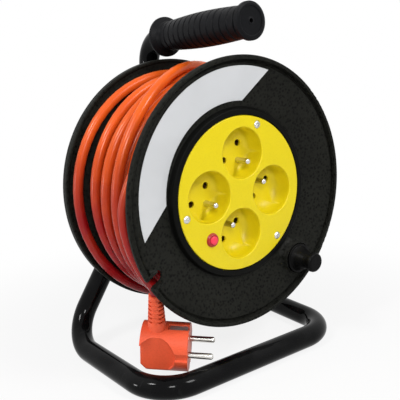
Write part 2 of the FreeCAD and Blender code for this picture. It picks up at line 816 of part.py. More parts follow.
def bearing_plate():
    """Pressed plate with a dished middle that carries the axle on the tube."""
    front = PLATE_Y
    rear = PLATE_Y + PLATE_THICKNESS
    leg_x = leg_point(LEG_BOLT_Z, 1).x
    outline = [
        (-11, POST_BOLT_Z + 14, 9),
        (11, POST_BOLT_Z + 14, 9),
        (leg_x + 17, LEG_BOLT_Z - 4, 12),
        (leg_x + 2, LEG_BOLT_Z - 16, 10),
        (-leg_x - 2, LEG_BOLT_Z - 16, 10),
        (-leg_x - 17, LEG_BOLT_Z - 4, 12),
    ]
    flat = plate(outline, front, rear).cut(rod(28, front - 1, rear + 1))
    cup = turned(
        [
            (AXLE_RADIUS, front - 8),
            (21, front - 8, 2.0),
            (26, front, 1.5),
            (29, front),
            (29, rear),
            (24.6, rear, 1.5),
            (19.6, rear - 8, 1.0),
            (AXLE_RADIUS, rear - 8),
        ]
    )
    body = fused([flat, cup])
    for place in bolt_places():
        body = body.cut(rod(3.2, 100, 150, place))
    return body


def frame_bolts():
    """Hexagon bolts through the plate and the tube."""
    bolts = []
    for place in bolt_places():
        head = hexagon(10, PLATE_Y - 4, PLATE_Y, place)
        bolts.append(head.fuse(rod(3.0, PLATE_Y - 1, FRAME_REAR, place)))
    return bolts


def frame_nuts():
    """Nuts behind the tube."""
    nuts = []
    for place in bolt_places():
        nuts.append(hexagon(10, FRAME_REAR - 5, FRAME_REAR - 0.5, place).cut(rod(3.0, 100, 150, place)))
    return nuts


def axle():
    """Axle with its shoulder, welded in the plate's dish, tapped in front."""
    body = turned(
        [
            (0, WEB_Y - 0.4),
            (AXLE_RADIUS, WEB_Y - 0.4, 0.8),
            (AXLE_RADIUS, SHOULDER_Y),
            (14.0, SHOULDER_Y),
            (14.0, PLATE_Y - 8),
            (AXLE_RADIUS, PLATE_Y - 8),
            (AXLE_RADIUS, PLATE_Y - 2),
            (0, PLATE_Y - 2),
        ]
    )
    return body.cut(rod(2.5, 0, WEB_Y + 16))


def retaining_screw():
    """Screw in the axle's front end."""
    return moved(screw(5.0, 3.4, 2.5, 16), Vector(0, WEB_Y - 2.0, 0))


# Free end of the cord


def plug_axes():
    """The plug's own directions: along its pins, across them and along its cord."""
    forward = Vector(PLUG_FORWARD).normalize()
    side = Vector(PLUG_UP).cross(forward).normalize()
    return forward, side, forward.cross(side)


def plug_place(shape):
    """Places a shape drawn with its pins along +X and its cord leaving along +Z, the pin face at x = 0."""
    copy = shape.copy()
    copy.Placement = FreeCAD.Placement(PLUG_FACE, FreeCAD.Rotation(*plug_axes(), "ZXY")).multiply(copy.Placement)
    return copy


def relief_top():
    """Where the cord enters the strain relief, and the way it comes out."""
    forward, side, up = plug_axes()
    return PLUG_FACE - forward * RELIEF_SETBACK + up * (PLUG_RADIUS - 1 + RELIEF_LENGTH), up


def plug_body():
    """Angled plug: a round front that enters a socket and a flattened grip with dished sides."""
    body = Part.makeCylinder(PLUG_RADIUS, PLUG_DEPTH, Vector(-PLUG_DEPTH, 0, 0), Vector(1, 0, 0))
    half = 14.5
    for side in (-1, 1):
        flat = Part.makeBox(PLUG_DEPTH - 16, 10, 50, Vector(-PLUG_DEPTH, half if side > 0 else -half - 10, -25))
        body = body.cut(flat)
        dish = Part.makeSphere(30, Vector(-PLUG_DEPTH + 10, side * (half + 28.2), -2))
        body = body.cut(dish)
        guide = Part.makeBox(17, 6, 5.4, Vector(-16, side * (PLUG_RADIUS - 1.4) - (0 if side > 0 else 6), -2.7))
        body = body.cut(guide)
        clip = Part.makeBox(17, 7, 3, Vector(-16, -3.5, side * (PLUG_RADIUS - 1.6) - (0 if side > 0 else 3)))
        body = body.cut(clip)
    corner = Part.makeBox(20, 50, 20, Vector(0, -25, 0))
    corner.rotate(Vector(0, 0, 0), Vector(0, 1, 0), 45)
    corner.translate(Vector(-PLUG_DEPTH - 12.5, 0, -PLUG_RADIUS - 7))
    body = body.cut(corner)
    return plug_place(body)


def plug_pins():
    """Two round pins."""
    pins = []
    for side in (-1, 1):
        pin = turned([(0, 0), (PIN_RADIUS, 0), (PIN_RADIUS, PIN_LENGTH, 1.9), (0, PIN_LENGTH)])
        pin.rotate(Vector(0, 0, 0), Vector(0, 0, 1), -90)
        pin.translate(Vector(0, side * PIN_SPACING / 2, 0))
        pins.append(plug_place(pin))
    return pins


def plug_earth_contacts():
    """Springy earth contacts in the plug's top and bottom grooves."""
    strips = []
    for side in (-1, 1):
        low = side * (PLUG_RADIUS - 1.6) - (0 if side > 0 else 0.6)
        strips.append(plug_place(Part.makeBox(14, 5, 0.6, Vector(-15, -2.5, low))))
    return strips


def plug_strain_relief():
    """Tapered relief with slots from two sides."""
    foot = PLUG_RADIUS - 1
    body = Part.makeCone(7.2, 5.3, RELIEF_LENGTH, Vector(-RELIEF_SETBACK, 0, foot), Vector(0, 0, 1))
    for i in range(RELIEF_SLOTS):
        z = foot + 7.5 + 3.6 * i
        for side in (-1, 1):
            x = -RELIEF_SETBACK + (2.6 if side > 0 else -2.6 - 8)
            body = body.cut(Part.makeBox(8, 16, 1.5, Vector(x, -8, z)))
    seat = Part.makeCylinder(PLUG_RADIUS, PLUG_DEPTH, Vector(-PLUG_DEPTH, 0, 0), Vector(1, 0, 0))
    return plug_place(body.cut(seat))


def lead_route():
    """The free stretch, from the winding down to the strain relief."""
    top, up = relief_top()
    return [
        Vector(-97.4, 19.5, 8.0),
        Vector(-98.2, 19.0, -12.0),
        Vector(-93.0, 18.2, -33.6),
        Vector(-84.4, 17.4, -51.2),
        top + up * 6.0,
        top,
    ]


def cord_lead():
    """The free stretch as a bent round bar."""
    points = lead_route()
    corners = [(points[0], 0)]
    radii = []
    for before, point, after in zip(points, points[1:], points[2:]):
        turn = (point - before).getAngle(after - point)
        radius = 0.45 * min((point - before).Length, (after - point).Length) / math.tan(turn / 2)
        radii.append(round(radius, 1))
        corners.append((point, radius))
    corners.append((points[-1], 0))
    path = rounded_wire(corners, closed=False)
    nearest = min(math.hypot(p.x, p.z) for p in path.discretize(Number=120))
    body = swept(path, CORD_RADIUS)
    expected = math.pi * CORD_RADIUS**2 * path.Length
    print("lead: length", round(path.Length, 1), "radii", radii, "nearest the axle", round(nearest, 1))
    print("lead: volume over section times length", round(body.Volume / expected, 4))
    return body


def main():
    os.makedirs("parts", exist_ok=True)
    write("frame_tube", frame_tube())
    write("grip", grip())
    write("tube_end_cap", tube_end_cap())
    write("bearing_plate", bearing_plate())
    write("frame_bolts", *frame_bolts())
    write("frame_nuts", *frame_nuts())
    write("axle", axle())
    write("thrust_washer", ring(14.0, AXLE_RADIUS, SHOULDER_Y - 1.0, SHOULDER_Y))
    write("retaining_washer", ring(13.0, 2.5, WEB_Y - 2.0, WEB_Y - 0.4))
    write("retaining_screw", retaining_screw())

    write("front_flange", front_flange())
    write("label", label())
    write("rear_flange", rear_flange())
    write("flange_screws", *flange_screws())
    write("hub_barrel", hub_barrel())
    write("bearing_bush", bearing_bush())
    write("cord_clamp", cord_clamp())
    write("socket_panel", socket_panel())
    write("panel_screws", *panel_screws())
    for name in SOCKET_ANGLES:
        write(f"earth_pin_{name}", earth_pin(name))
    write("earth_strip", earth_strip())
    write("live_contacts", contact_set(True))
    write("neutral_contacts", contact_set(False))
    write("contact_carrier", contact_carrier())
    write("thermal_cutout", thermal_cutout())
    write("button_bezel", button_bezel())
    write("reset_button", reset_button())
    write("button_spring", button_spring())
    write("knob_pin", knob_pin())
    write("winding_knob", winding_knob())
    write("cord_core", cord_core())
    write("cord_turns", cord_turns())

    write("cord_lead", cord_lead())
    write("plug_strain_relief", plug_strain_relief())
    write("plug_body", plug_body())
    write("plug_pins", *plug_pins())
    write("plug_earth_contacts", *plug_earth_contacts())


main()
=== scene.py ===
"""Looks of an extension cord reel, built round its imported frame.

A black drum with a yellow socket panel and orange cord turns in a bent steel tube with a ribbed grip.
Sizes are in millimetres about the drum's axle, as they are read off the object, and `place` turns them
into the row frame in metres. Every class holds one sub-assembly: its sizes, its meshes and its finishes.
"""

import json
import logging
import math
import random
from dataclasses import dataclass
from enum import Enum
from functools import cache, cached_property
from typing import Sequence

import bmesh
import bpy
from mathutils import Matrix, Vector


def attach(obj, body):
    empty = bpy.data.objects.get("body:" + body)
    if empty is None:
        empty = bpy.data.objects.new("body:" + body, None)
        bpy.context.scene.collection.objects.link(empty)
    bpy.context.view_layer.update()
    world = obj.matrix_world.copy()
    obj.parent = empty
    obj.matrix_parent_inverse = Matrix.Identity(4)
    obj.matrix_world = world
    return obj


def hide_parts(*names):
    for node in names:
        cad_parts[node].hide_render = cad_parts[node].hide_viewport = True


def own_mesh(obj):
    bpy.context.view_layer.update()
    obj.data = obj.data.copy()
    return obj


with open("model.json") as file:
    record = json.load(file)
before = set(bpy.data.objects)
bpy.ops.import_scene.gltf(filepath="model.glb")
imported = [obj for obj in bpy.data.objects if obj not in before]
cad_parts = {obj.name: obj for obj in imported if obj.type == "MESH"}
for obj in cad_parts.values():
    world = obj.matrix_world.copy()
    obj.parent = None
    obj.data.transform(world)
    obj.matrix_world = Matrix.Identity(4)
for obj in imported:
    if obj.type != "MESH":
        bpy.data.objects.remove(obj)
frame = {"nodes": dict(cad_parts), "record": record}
log = logging.getLogger("cord_reel")

MM = 0.001
AXLE_HEIGHT = 143.0
MIDDLE_DEPTH = 61.5
AXLE_WAY = Vector((0.0, 1.0, 0.0))
DRUM_TURN = -3.0
WHITE = (1.0, 1.0, 1.0)

Piece = bpy.types.Object
Mesh = bpy.types.Mesh
Shape = bmesh.types.BMesh
Tree = bpy.types.NodeTree
Node = bpy.types.Node
Socket = bpy.types.NodeSocket
Material = bpy.types.Material
Colour = tuple[float, float, float]
Point = tuple[float, float, float]
Corner = tuple[float, ...]
Station = tuple[float, float]


class Body(Enum):
    """The bodies that pieces ride on."""

    FRAME = "frame"
    DRUM = "drum"
    KNOB = "knob"
    BUTTON = "button"


class Slot(Enum):
    """The record's material slots."""

    TUBE = "black_painted_tube"
    PLATE = "black_painted_plate"
    GRIP = "black_grip"
    BLACK = "black_plastic"
    KNOB = "black_knob"
    DARK = "dark_plastic"
    WHITE = "white_plastic"
    YELLOW = "yellow_plastic"
    CORD = "orange_cord"
    PLUG = "orange_plug"
    NICKEL = "nickel_pins"
    ZINC = "zinc_steel"
    STEEL = "bare_steel"
    SPRING = "spring_steel"
    BRASS = "brass_strip"
    BEZEL = "red_bezel"
    BUTTON = "red_button"
    LABEL = "white_label"


def place(x: float, y: float, z: float) -> Vector:
    """A point about the drum's axle in millimetres, as a point of the row frame in metres.

    Args:
        x: Distance to the right of the axle, seen from the front.
        y: Distance behind the front rim.
        z: Height above the axle.

    Returns:
        The same point with the floor at zero height.
    """
    return Vector((x, y - MIDDLE_DEPTH, z + AXLE_HEIGHT)) * MM


def round_axle(radius: float, angle: float, y: float) -> Vector:
    """A point at a radius and an angle in degrees round the axle, in the row frame."""
    turn = math.radians(angle)
    return place(radius * math.cos(turn), y, radius * math.sin(turn))


def on_drum(radius: float, angle: float, y: float) -> Vector:
    """The same for a place on the drum, which stands a little turned in the photograph."""
    return round_axle(radius, angle + DRUM_TURN, y)


def ease(value: float) -> float:
    """Runs from 0 to 1 with a gentle start and end."""
    value = min(max(value, 0.0), 1.0)
    return value * value * (3.0 - 2.0 * value)


def between(values: Sequence[float], spot: float) -> float:
    """Reads a smooth curve through evenly spaced values.

    Args:
        values: The curve's values.
        spot: Where to read it, counted in spaces from the first value.

    Returns:
        The curve's value there.
    """
    last = len(values) - 1
    i = min(max(math.floor(spot), 0), last - 1)
    t = spot - i
    here, there = values[i], values[i + 1]
    rise = there - here
    start = (there - values[max(i - 1, 0)]) / 2.0
    end = (values[min(i + 2, last)] - here) / 2.0
    bend = 3.0 * rise - 2.0 * start - end
    twist = start + end - 2.0 * rise
    return here + t * (start + t * (bend + t * twist))


def full_turn(count: int) -> list[float]:
    """Evenly spaced angles round a full turn, in radians."""
    return [math.tau * step / count for step in range(count)]


class Graph:
    """A node tree with short calls that add nodes and join them."""

    def __init__(self, tree: Tree) -> None:
        """Starts on an existing tree."""
        self.tree = tree

    def feed(self, socket: Socket, value: object) -> None:
        """Gives an input a constant, or joins it to an output.

        Args:
            socket: The input.
            value: An output or a constant; a colour gets its full alpha here.
        """
        if isinstance(value, Socket):
            self.tree.links.new(value, socket)
        elif socket.type == "RGBA":
            socket.default_value = (*value, 1.0)
        else:
            socket.default_value = value

    def add(self, kind: str, inputs: dict | None = None, **settings: object) -> Node:
        """Adds a node.

        Args:
            kind: The node's type name.
            inputs: Constants or outputs for its inputs, by name or number.
            settings: Values for the node's own options.

        Returns:
            The new node.
        """
        node = self.tree.nodes.new(kind)
        for name, value in settings.items():
            setattr(node, name, value)
        for name, value in (inputs or {}).items():
            self.feed(node.inputs[name], value)
        return node

    @cached_property
    def where(self) -> Socket:
        """The Object coordinates, from one node that is added at its first use."""
        return self.add("ShaderNodeTexCoord").outputs["Object"]

    def sum(self, operation: str, *values: object, clamp: bool = False) -> Socket:
        """Adds a Math node and returns its output."""
        node = self.add("ShaderNodeMath", dict(enumerate(values)), operation=operation, use_clamp=clamp)
        return node.outputs[0]

    def times(self, value: object, factor: object) -> Socket:
        """Multiplies two values."""
        return self.sum("MULTIPLY", value, factor)

    def scaled(self, value: object, factor: object, base: object, clamp: bool = False) -> Socket:
        """Adds a value times a factor to a base."""
        return self.sum("MULTIPLY_ADD", value, factor, base, clamp=clamp)

    def blend(self, factor: object, first: object, second: object) -> Socket:
        """Mixes two colours by a factor and returns the result."""
        inputs = {0: factor, 6: first, 7: second}
        return self.add("ShaderNodeMix", inputs, data_type="RGBA").outputs[2]

    def stain(self, colour: object, mask: Socket, amount: float, other: Colour) -> Socket:
        """Mixes another colour in where a mask is, up to an amount."""
        return self.blend(self.times(mask, amount), colour, other)

    def band(
        self, value: object, low: float, high: float, to_low: float = 0.0, to_high: float = 1.0
    ) -> Socket:
        """Maps a value smoothly from one range to another, clamped, and returns the result."""
        inputs = {0: value, 1: low, 2: high, 3: to_low, 4: to_high}
        return self.add("ShaderNodeMapRange", inputs, interpolation_type="SMOOTHSTEP").outputs[0]

    def noise(self, scale: object, detail: float = 2.0, where: Socket | None = None) -> Socket:
        """Adds a Noise Texture, on Object coordinates unless others are given, and returns its factor."""
        inputs = {"Vector": where or self.where, "Scale": scale, "Detail": detail}
        return self.add("ShaderNodeTexNoise", inputs).outputs["Fac"]

    def vector(self, operation: str, *values: object, **named: object) -> Socket:
        """Adds a Vector Math node.

        Args:
            operation: What it does.
            values: Its vectors.
            named: Inputs by name, such as the factor of SCALE.

        Returns:
            Its number where the operation gives one, or else its vector.
        """
        node = self.add("ShaderNodeVectorMath", {**dict(enumerate(values)), **named}, operation=operation)
        return node.outputs["Value" if operation in ("LENGTH", "DOT_PRODUCT") else "Vector"]

    def group(self, tree: Tree, **inputs: object) -> Sequence[Socket]:
        """Adds a shared effect with values for its inputs, and returns its outputs."""
        return self.add("ShaderNodeGroup", inputs, node_tree=tree).outputs

    def give(self, **results: Socket) -> Tree:
        """Ends a shared effect with its results and returns its tree."""
        self.add("NodeGroupOutput", results)
        return self.tree


class SharedEffects:
    """Shader groups that several finishes use, each built once."""

    def start(self, name: str, inputs: dict[str, float], outputs: Sequence[str]) -> tuple[Graph, object]:
        """Makes an empty shader group.

        Args:
            name: The group's name.
            inputs: Names and first values of its float inputs.
            outputs: Names of its float outputs.

        Returns:
            The graph inside it and the inputs as the graph reads them.
        """
        tree = bpy.data.node_groups.new(name, "ShaderNodeTree")
        kind = "NodeSocketFloat"
        for label, value in inputs.items():
            socket = tree.interface.new_socket(name=label, in_out="INPUT", socket_type=kind)
            socket.default_value = value
        for label in outputs:
            tree.interface.new_socket(name=label, in_out="OUTPUT", socket_type=kind)
        graph = Graph(tree)
        return graph, graph.add("NodeGroupInput").outputs

    @cached_property
    def grain(self) -> Tree:
        """Fine moulded texture: a height, and slow patches of tint.

        Returns:
            The shader group.
        """
        graph, given = self.start("moulded_grain", {"Scale": 900.0, "Patches": 14.0}, ("Height", "Tint"))
        fine = graph.times(graph.noise(given["Scale"], 3.0), 0.7)
        cells = graph.add("ShaderNodeTexVoronoi", {"Vector": graph.where, "Scale": given["Scale"]})
        height = graph.sum("ADD", fine, graph.times(cells.outputs["Distance"], 0.6))
        tint = graph.band(graph.noise(given["Patches"], 4.0), 0.35, 0.65)
        return graph.give(Height=height, Tint=tint)

    @cached_property
    def edge_wear(self) -> Tree:
        """Broken mask along edges, where handling polishes or chips them.

        Returns:
            The shader group.
        """
        graph, given = self.start("edge_wear", {"Width": 0.0008, "Breaks": 160.0}, ("Mask",))
        plain = graph.add("ShaderNodeNewGeometry").outputs["Normal"]
        bevel = graph.add("ShaderNodeBevel", {"Radius": given["Width"]}, samples=4).outputs[0]
        turned = graph.sum("SUBTRACT", 1.0, graph.vector("DOT_PRODUCT", plain, bevel))
        chips = graph.band(graph.noise(given["Breaks"], 3.0), 0.4, 0.65)
        return graph.give(Mask=graph.times(graph.band(turned, 0.02, 0.2), chips))

    @cached_property
    def dust(self) -> Tree:
        """Thin dust on faces that look up, as a mask.

        Returns:
            The shader group.
        """
        graph, given = self.start("settled_dust", {"Amount": 0.3, "Clumps": 45.0}, ("Mask",))
        normal = graph.add("ShaderNodeNewGeometry").outputs["Normal"]
        upwards = graph.add("ShaderNodeSeparateXYZ", {0: normal}).outputs["Z"]
        clumps = graph.band(graph.noise(given["Clumps"], 5.0), 0.35, 0.7)
        lying = graph.times(graph.band(upwards, 0.1, 1.0), clumps)
        return graph.give(Mask=graph.times(lying, given["Amount"]))

    @cached_property
    def scuffs(self) -> Tree:
        """Sparse fine scratches in two directions, as a mask.

        Returns:
            The shader group.
        """
        graph, given = self.start("fine_scuffs", {"Scale": 60.0, "Spread": 0.5}, ("Mask",))
        masks = []
        for turn, stretch in ((0.6, 9.0), (-0.9, 12.0)):
            way = {"Rotation": (turn, turn * 0.5, turn), "Scale": (1.0, stretch, 1.0)}
            lines = graph.add("ShaderNodeMapping", {"Vector": graph.where, **way}).outputs[0]
            masks.append(graph.band(graph.noise(given["Scale"], 6.0, lines), 0.66, 0.72))
        return graph.give(Mask=graph.times(graph.sum("MAXIMUM", *masks), given["Spread"]))


effects = SharedEffects()


class Surface(Graph):
    """A new material's nodes, with the Principled shader joined to the output."""

    def __init__(self, name: str) -> None:
        """Makes the material with nothing but its shader.

        Args:
            name: The material's name.
        """
        self.material = bpy.data.materials.new(name)
        self.material.use_nodes = True
        self.material.node_tree.nodes.clear()
        super().__init__(self.material.node_tree)
        self.shader = self.add("ShaderNodeBsdfPrincipled")
        self.output = self.add("ShaderNodeOutputMaterial", {"Surface": self.shader.outputs["BSDF"]})

    def put(self, name: str, value: object) -> None:
        """Feeds one of the shader's inputs."""
        self.feed(self.shader.inputs[name], value)

    def close(
        self, colour: Socket, rough: Socket, height: Socket, distance: float, strength: float = 1.0
    ) -> Material:
        """Joins what changes over the surface to the shader.

        Args:
            colour: The base colour.
            rough: The roughness.
            height: The fine relief's height, from 0 to 1.
            distance: How far a height of 1 stands out, in metres.
            strength: How much of the relief shows.

        Returns:
            The material.
        """
        relief = self.add("ShaderNodeBump", {"Height": height, "Distance": distance, "Strength": strength})
        self.put("Base Color", colour)
        self.put("Roughness", rough)
        self.put("Normal", relief.outputs[0])
        return self.material


@dataclass(frozen=True)
class MouldedPlastic:
    """Moulded plastic or rubber with a fine texture, pale worn edges and a little dust, and painted shade
    over the middle where a hub radius is given.
    """

    name: str
    colour: Colour
    worn: Colour
    roughness: float = 0.5
    uneven: float = 0.08
    grain: float = 900.0
    depth: float = 0.00004
    speckle: float = 0.15
    wear: float = 0.4
    dust: float = 0.1
    specular: float = 0.5
    soft: float = 0.0
    soft_reach: Point = (0.004, 0.002, 0.001)
    dusty: Colour = (0.62, 0.6, 0.56)
    # Radius in metres of the painted shade about the axle; 0 leaves it out.
    hub: float = 0.0
    hub_shade_edge: float = 0.0008
    hub_shade: float = 0.35

    def material(self) -> Material:
        """Builds the finish's nodes.

        Returns:
            The material.
        """
        surface = Surface(self.name)
        grain = surface.group(effects.grain, Scale=self.grain)
        wear = surface.group(effects.edge_wear)["Mask"]
        dust = surface.group(effects.dust, Amount=self.dust)["Mask"]
        dark = tuple(part * (1.0 - self.speckle) for part in self.colour)
        light = tuple(min(1.0, part * (1.0 + self.speckle)) for part in self.colour)
        colour = surface.blend(surface.band(grain["Height"], 0.3, 0.75), dark, light)
        colour = surface.stain(colour, grain["Tint"], 0.25, dark)
        colour = surface.stain(colour, wear, self.wear, self.worn)
        colour = surface.blend(dust, colour, self.dusty)
        # Painted shade: the colour is darkened within the hub's radius about the axle, as shade round the
        # panel's collar.
        if self.hub:
            shade = tuple(self.hub_shade * part for part in self.colour)
            colour = surface.blend(self.painted_hub_shade(surface), colour, shade)
        uneven = surface.scaled(grain["Tint"], self.uneven, self.roughness - self.uneven / 2.0)
        rough = surface.sum("ADD", uneven, surface.times(dust, 0.4))
        surface.put("Specular IOR Level", self.specular)
        surface.put("Subsurface Weight", self.soft)
        surface.put("Subsurface Radius", self.soft_reach)
        return surface.close(colour, rough, grain["Height"], self.depth)

    def painted_hub_shade(self, graph: Graph) -> Socket:
        """Mask of the painted shade over the middle, about the axle.

        Args:
            graph: The material's nodes.

        Returns:
            1 within the hub's radius about the axle, and 0 outside it.
        """
        centred = graph.vector("SUBTRACT", graph.where, place(0, 0, 0))
        away = graph.vector("LENGTH", graph.vector("MULTIPLY", centred, (1.0, 0.0, 1.0)))
        return graph.band(away, self.hub, self.hub + self.hub_shade_edge, 1.0, 0.0)


@dataclass(frozen=True)
class PaintedSteel:
    """Glossy paint on bent steel: orange peel, scuffs and dust."""

    name: str
    colour: Colour
    roughness: float = 0.16
    peel: float = 0.000012
    peel_scale: float = 260.0
    scuffs: float = 0.2
    scuffed: Colour = (0.03, 0.03, 0.03)
    worn: Colour = (0.1, 0.1, 0.1)
    dust: float = 0.02
    dusty: Colour = (0.3, 0.3, 0.3)
    specular: float = 0.08

    def material(self) -> Material:
        """Builds the finish's nodes.

        Returns:
            The material.
        """
        surface = Surface(self.name)
        scuffs = surface.group(effects.scuffs, Spread=self.scuffs)["Mask"]
        wear = surface.group(effects.edge_wear, Width=0.0006)["Mask"]
        dust = surface.group(effects.dust, Amount=self.dust)["Mask"]
        colour = surface.blend(scuffs, self.colour, self.scuffed)
        colour = surface.stain(colour, wear, 0.4, self.worn)
        colour = surface.blend(dust, colour, self.dusty)
        rough = surface.scaled(dust, 0.5, surface.scaled(scuffs, 0.35, self.roughness))
        surface.put("Specular IOR Level", self.specular)
        return surface.close(colour, rough, surface.noise(self.peel_scale), self.peel)


@dataclass(frozen=True)
class CableSheath:
    """Smooth plastic sheath of the cord with a low waxy shine, and painted shade that darkens its colour
    lower down.
    """

    name: str
    colour: Colour
    painted_shade: Colour
    scuffed: Colour = (0.5, 0.12, 0.05)
    shade_full_below: float = 0.07
    shade_none_above: float = 0.26
    roughness: float = 0.22
    specular: float = 0.22
    relief: float = 0.00003

    def material(self) -> Material:
        """Builds the finish's nodes.

        Returns:
            The material.
        """
        surface = Surface(self.name)
        height = surface.add("ShaderNodeSeparateXYZ", {0: surface.where}).outputs["Z"]
        grain = surface.group(effects.grain, Scale=420.0, Patches=30.0)
        scuffs = surface.group(effects.scuffs, Scale=90.0, Spread=0.3)["Mask"]
        # Painted shade: the cord is darkened lower down, by height in the object's own coordinates, which
        # turn with the drum; random tint patches are mixed into the same mask.
        low = surface.band(height, self.shade_full_below, self.shade_none_above, 1.0, 0.0)
        patches = surface.scaled(grain["Tint"], 0.2, low, clamp=True)
        colour = surface.stain(surface.blend(patches, self.colour, self.painted_shade), scuffs, 0.4, self.scuffed)
        rough = surface.scaled(grain["Tint"], 0.12, self.roughness)
        surface.put("Specular IOR Level", self.specular)
        return surface.close(colour, rough, grain["Height"], self.relief)


@dataclass(frozen=True)
class PlatedMetal:
    """Plated, turned or stamped metal with fine drawn lines and dull patches."""

    name: str
    colour: Colour
    dull: Colour
    roughness: float = 0.25
    lines: float = 500.0
    relief: float = 0.00002

    def material(self) -> Material:
        """Builds the finish's nodes.

        Returns:
            The material.
        """
        surface = Surface(self.name)
        stretched = surface.add("ShaderNodeMapping", {"Vector": surface.where, "Scale": (1.0, 0.1, 1.0)})
        drawn = surface.noise(self.lines, 4.0, stretched.outputs[0])
        grain = surface.group(effects.grain, Scale=700.0, Patches=60.0)
        scuffs = surface.group(effects.scuffs, Scale=120.0, Spread=0.4)["Mask"]
        patchy = surface.stain(self.colour, grain["Tint"], 0.6, self.dull)
        colour = surface.blend(scuffs, patchy, self.dull)
        rough = surface.scaled(scuffs, 0.2, surface.scaled(drawn, 0.15, self.roughness - 0.07))
        surface.put("Metallic", 1.0)
        return surface.close(colour, rough, drawn, self.relief)


@dataclass(frozen=True)
class LabelFilm:
    """Bare pale label: satin film with faint creases and a handled edge."""

    name: str
    colour: Colour
    worn: Colour = (0.4, 0.4, 0.4)
    roughness: float = 0.38
    creases: float = 45.0
    crease_depth: float = 0.0002

    def material(self) -> Material:
        """Builds the finish's nodes.

        Returns:
            The material.
        """
        surface = Surface(self.name)
        grain = surface.group(effects.grain, Scale=600.0, Patches=22.0)
        wear = surface.group(effects.edge_wear, Width=0.001)["Mask"]
        grey = tuple(part * 0.9 for part in self.colour)
        colour = surface.stain(self.colour, grain["Tint"], 0.5, grey)
        colour = surface.stain(colour, wear, 0.4, self.worn)
        rough = surface.scaled(grain["Tint"], 0.1, self.roughness)
        return surface.close(colour, rough, surface.noise(self.creases, 6.0), self.crease_depth, 0.5)


FINISHES = {
    Slot.TUBE: PaintedSteel("gloss_black_tube", (0.002, 0.002, 0.0022), roughness=0.09),
    Slot.PLATE: PaintedSteel("satin_black_plate", (0.006, 0.006, 0.0065), roughness=0.4),
    Slot.GRIP: MouldedPlastic(
        "dark_grip", (0.004, 0.0042, 0.005), (0.03, 0.031, 0.034), 0.42,
        grain=700.0, dust=0.02, specular=0.07,
    ),
    # The black plastic gets painted shade within 66.8 mm of the axle.
    Slot.BLACK: MouldedPlastic(
        "speckled_black_plastic", (0.006, 0.0062, 0.005), (0.03, 0.03, 0.03), 0.48,
        grain=420.0, depth=0.00007, speckle=0.9, dust=0.012, specular=0.06, hub=0.0668,
    ),
    Slot.KNOB: MouldedPlastic(
        "satin_black_knob", (0.002, 0.002, 0.002), (0.02, 0.02, 0.02), 0.36,
        depth=0.00002, dust=0.01, specular=0.06,
    ),
    Slot.DARK: MouldedPlastic("dark_cutout_case", (0.02, 0.02, 0.02), (0.06, 0.06, 0.06)),
    Slot.WHITE: MouldedPlastic("natural_white_bearing", (0.7, 0.69, 0.65), (0.8, 0.8, 0.78), 0.4),
    Slot.YELLOW: MouldedPlastic(
        "yellow_panel", (0.68, 0.54, 0.004), (0.8, 0.72, 0.2), 0.4,
        grain=800.0, depth=0.00001, speckle=0.03, wear=0.25, dust=0.0, specular=0.3, soft=0.03,
    ),
    # The cord's second colour is painted shade, for its lower part.
    Slot.CORD: CableSheath("orange_sheath", (0.78, 0.125, 0.012), (0.24, 0.004, 0.006)),
    Slot.PLUG: MouldedPlastic(
        "orange_moulding", (0.64, 0.086, 0.034), (0.78, 0.18, 0.08), 0.4,
        grain=800.0, depth=0.00002, speckle=0.06, wear=0.3, dust=0.0, specular=0.2, soft=0.04,
    ),
    Slot.NICKEL: PlatedMetal("nickel_plate", (0.72, 0.7, 0.66), (0.5, 0.48, 0.45), 0.2),
    Slot.ZINC: PlatedMetal("zinc_plate", (0.66, 0.66, 0.64), (0.48, 0.48, 0.46), 0.3),
    Slot.STEEL: PlatedMetal("turned_steel", (0.52, 0.52, 0.51), (0.36, 0.35, 0.34), 0.3),
    Slot.SPRING: PlatedMetal("drawn_wire", (0.62, 0.6, 0.57), (0.45, 0.43, 0.4), 0.45),
    Slot.BRASS: PlatedMetal("stamped_brass", (0.7, 0.5, 0.18), (0.45, 0.3, 0.12), 0.28),
    Slot.BEZEL: MouldedPlastic(
        "dark_red_ring", (0.35, 0.012, 0.015), (0.6, 0.1, 0.1), 0.3, depth=0.00001, speckle=0.05
    ),
    Slot.BUTTON: MouldedPlastic(
        "red_button", (0.78, 0.03, 0.07), (0.85, 0.3, 0.3), 0.3, depth=0.00001, speckle=0.05
    ),
    Slot.LABEL: LabelFilm("bare_label", (0.56, 0.57, 0.585)),
}


@cache
def paint(slot: Slot) -> Material:
    """The material of a slot, built at its first use."""
    return FINISHES[slot].material()


def finish_piece(piece: Piece, body: Body, slot: Slot, *replaced: str) -> Piece:
    """Gives a piece its material, its body and the nodes that it stands for.

    Args:
        piece: A finished object whose place is in its mesh.
        body: The body that it rides on.
        slot: The record's slot that its finish comes from.
        replaced: Names of the CAD nodes that it stands for.

    Returns:
        The same object.
    """
    piece.data.materials.clear()
    piece.data.materials.append(paint(slot))
    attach(piece, body.value)
    if replaced:
        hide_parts(*replaced)
    log.info("%s rides on %s", piece.name, body.value)
    return piece


def link(name: str, data: bpy.types.ID) -> Piece:
    """Makes an object for some data and puts it in the scene.

    Args:
        name: The object's name.
        data: Its mesh, curve, lamp or camera.

    Returns:
        The new object.
    """
    piece = bpy.data.objects.new(name, data)
    bpy.context.scene.collection.objects.link(piece)
    return piece


def smooth(mesh: Mesh, angle: float) -> None:
    """Shades a mesh smooth, with sharp edges past an angle in degrees."""
    mesh.shade_smooth()
    mesh.set_sharp_from_angle(angle=math.radians(angle))


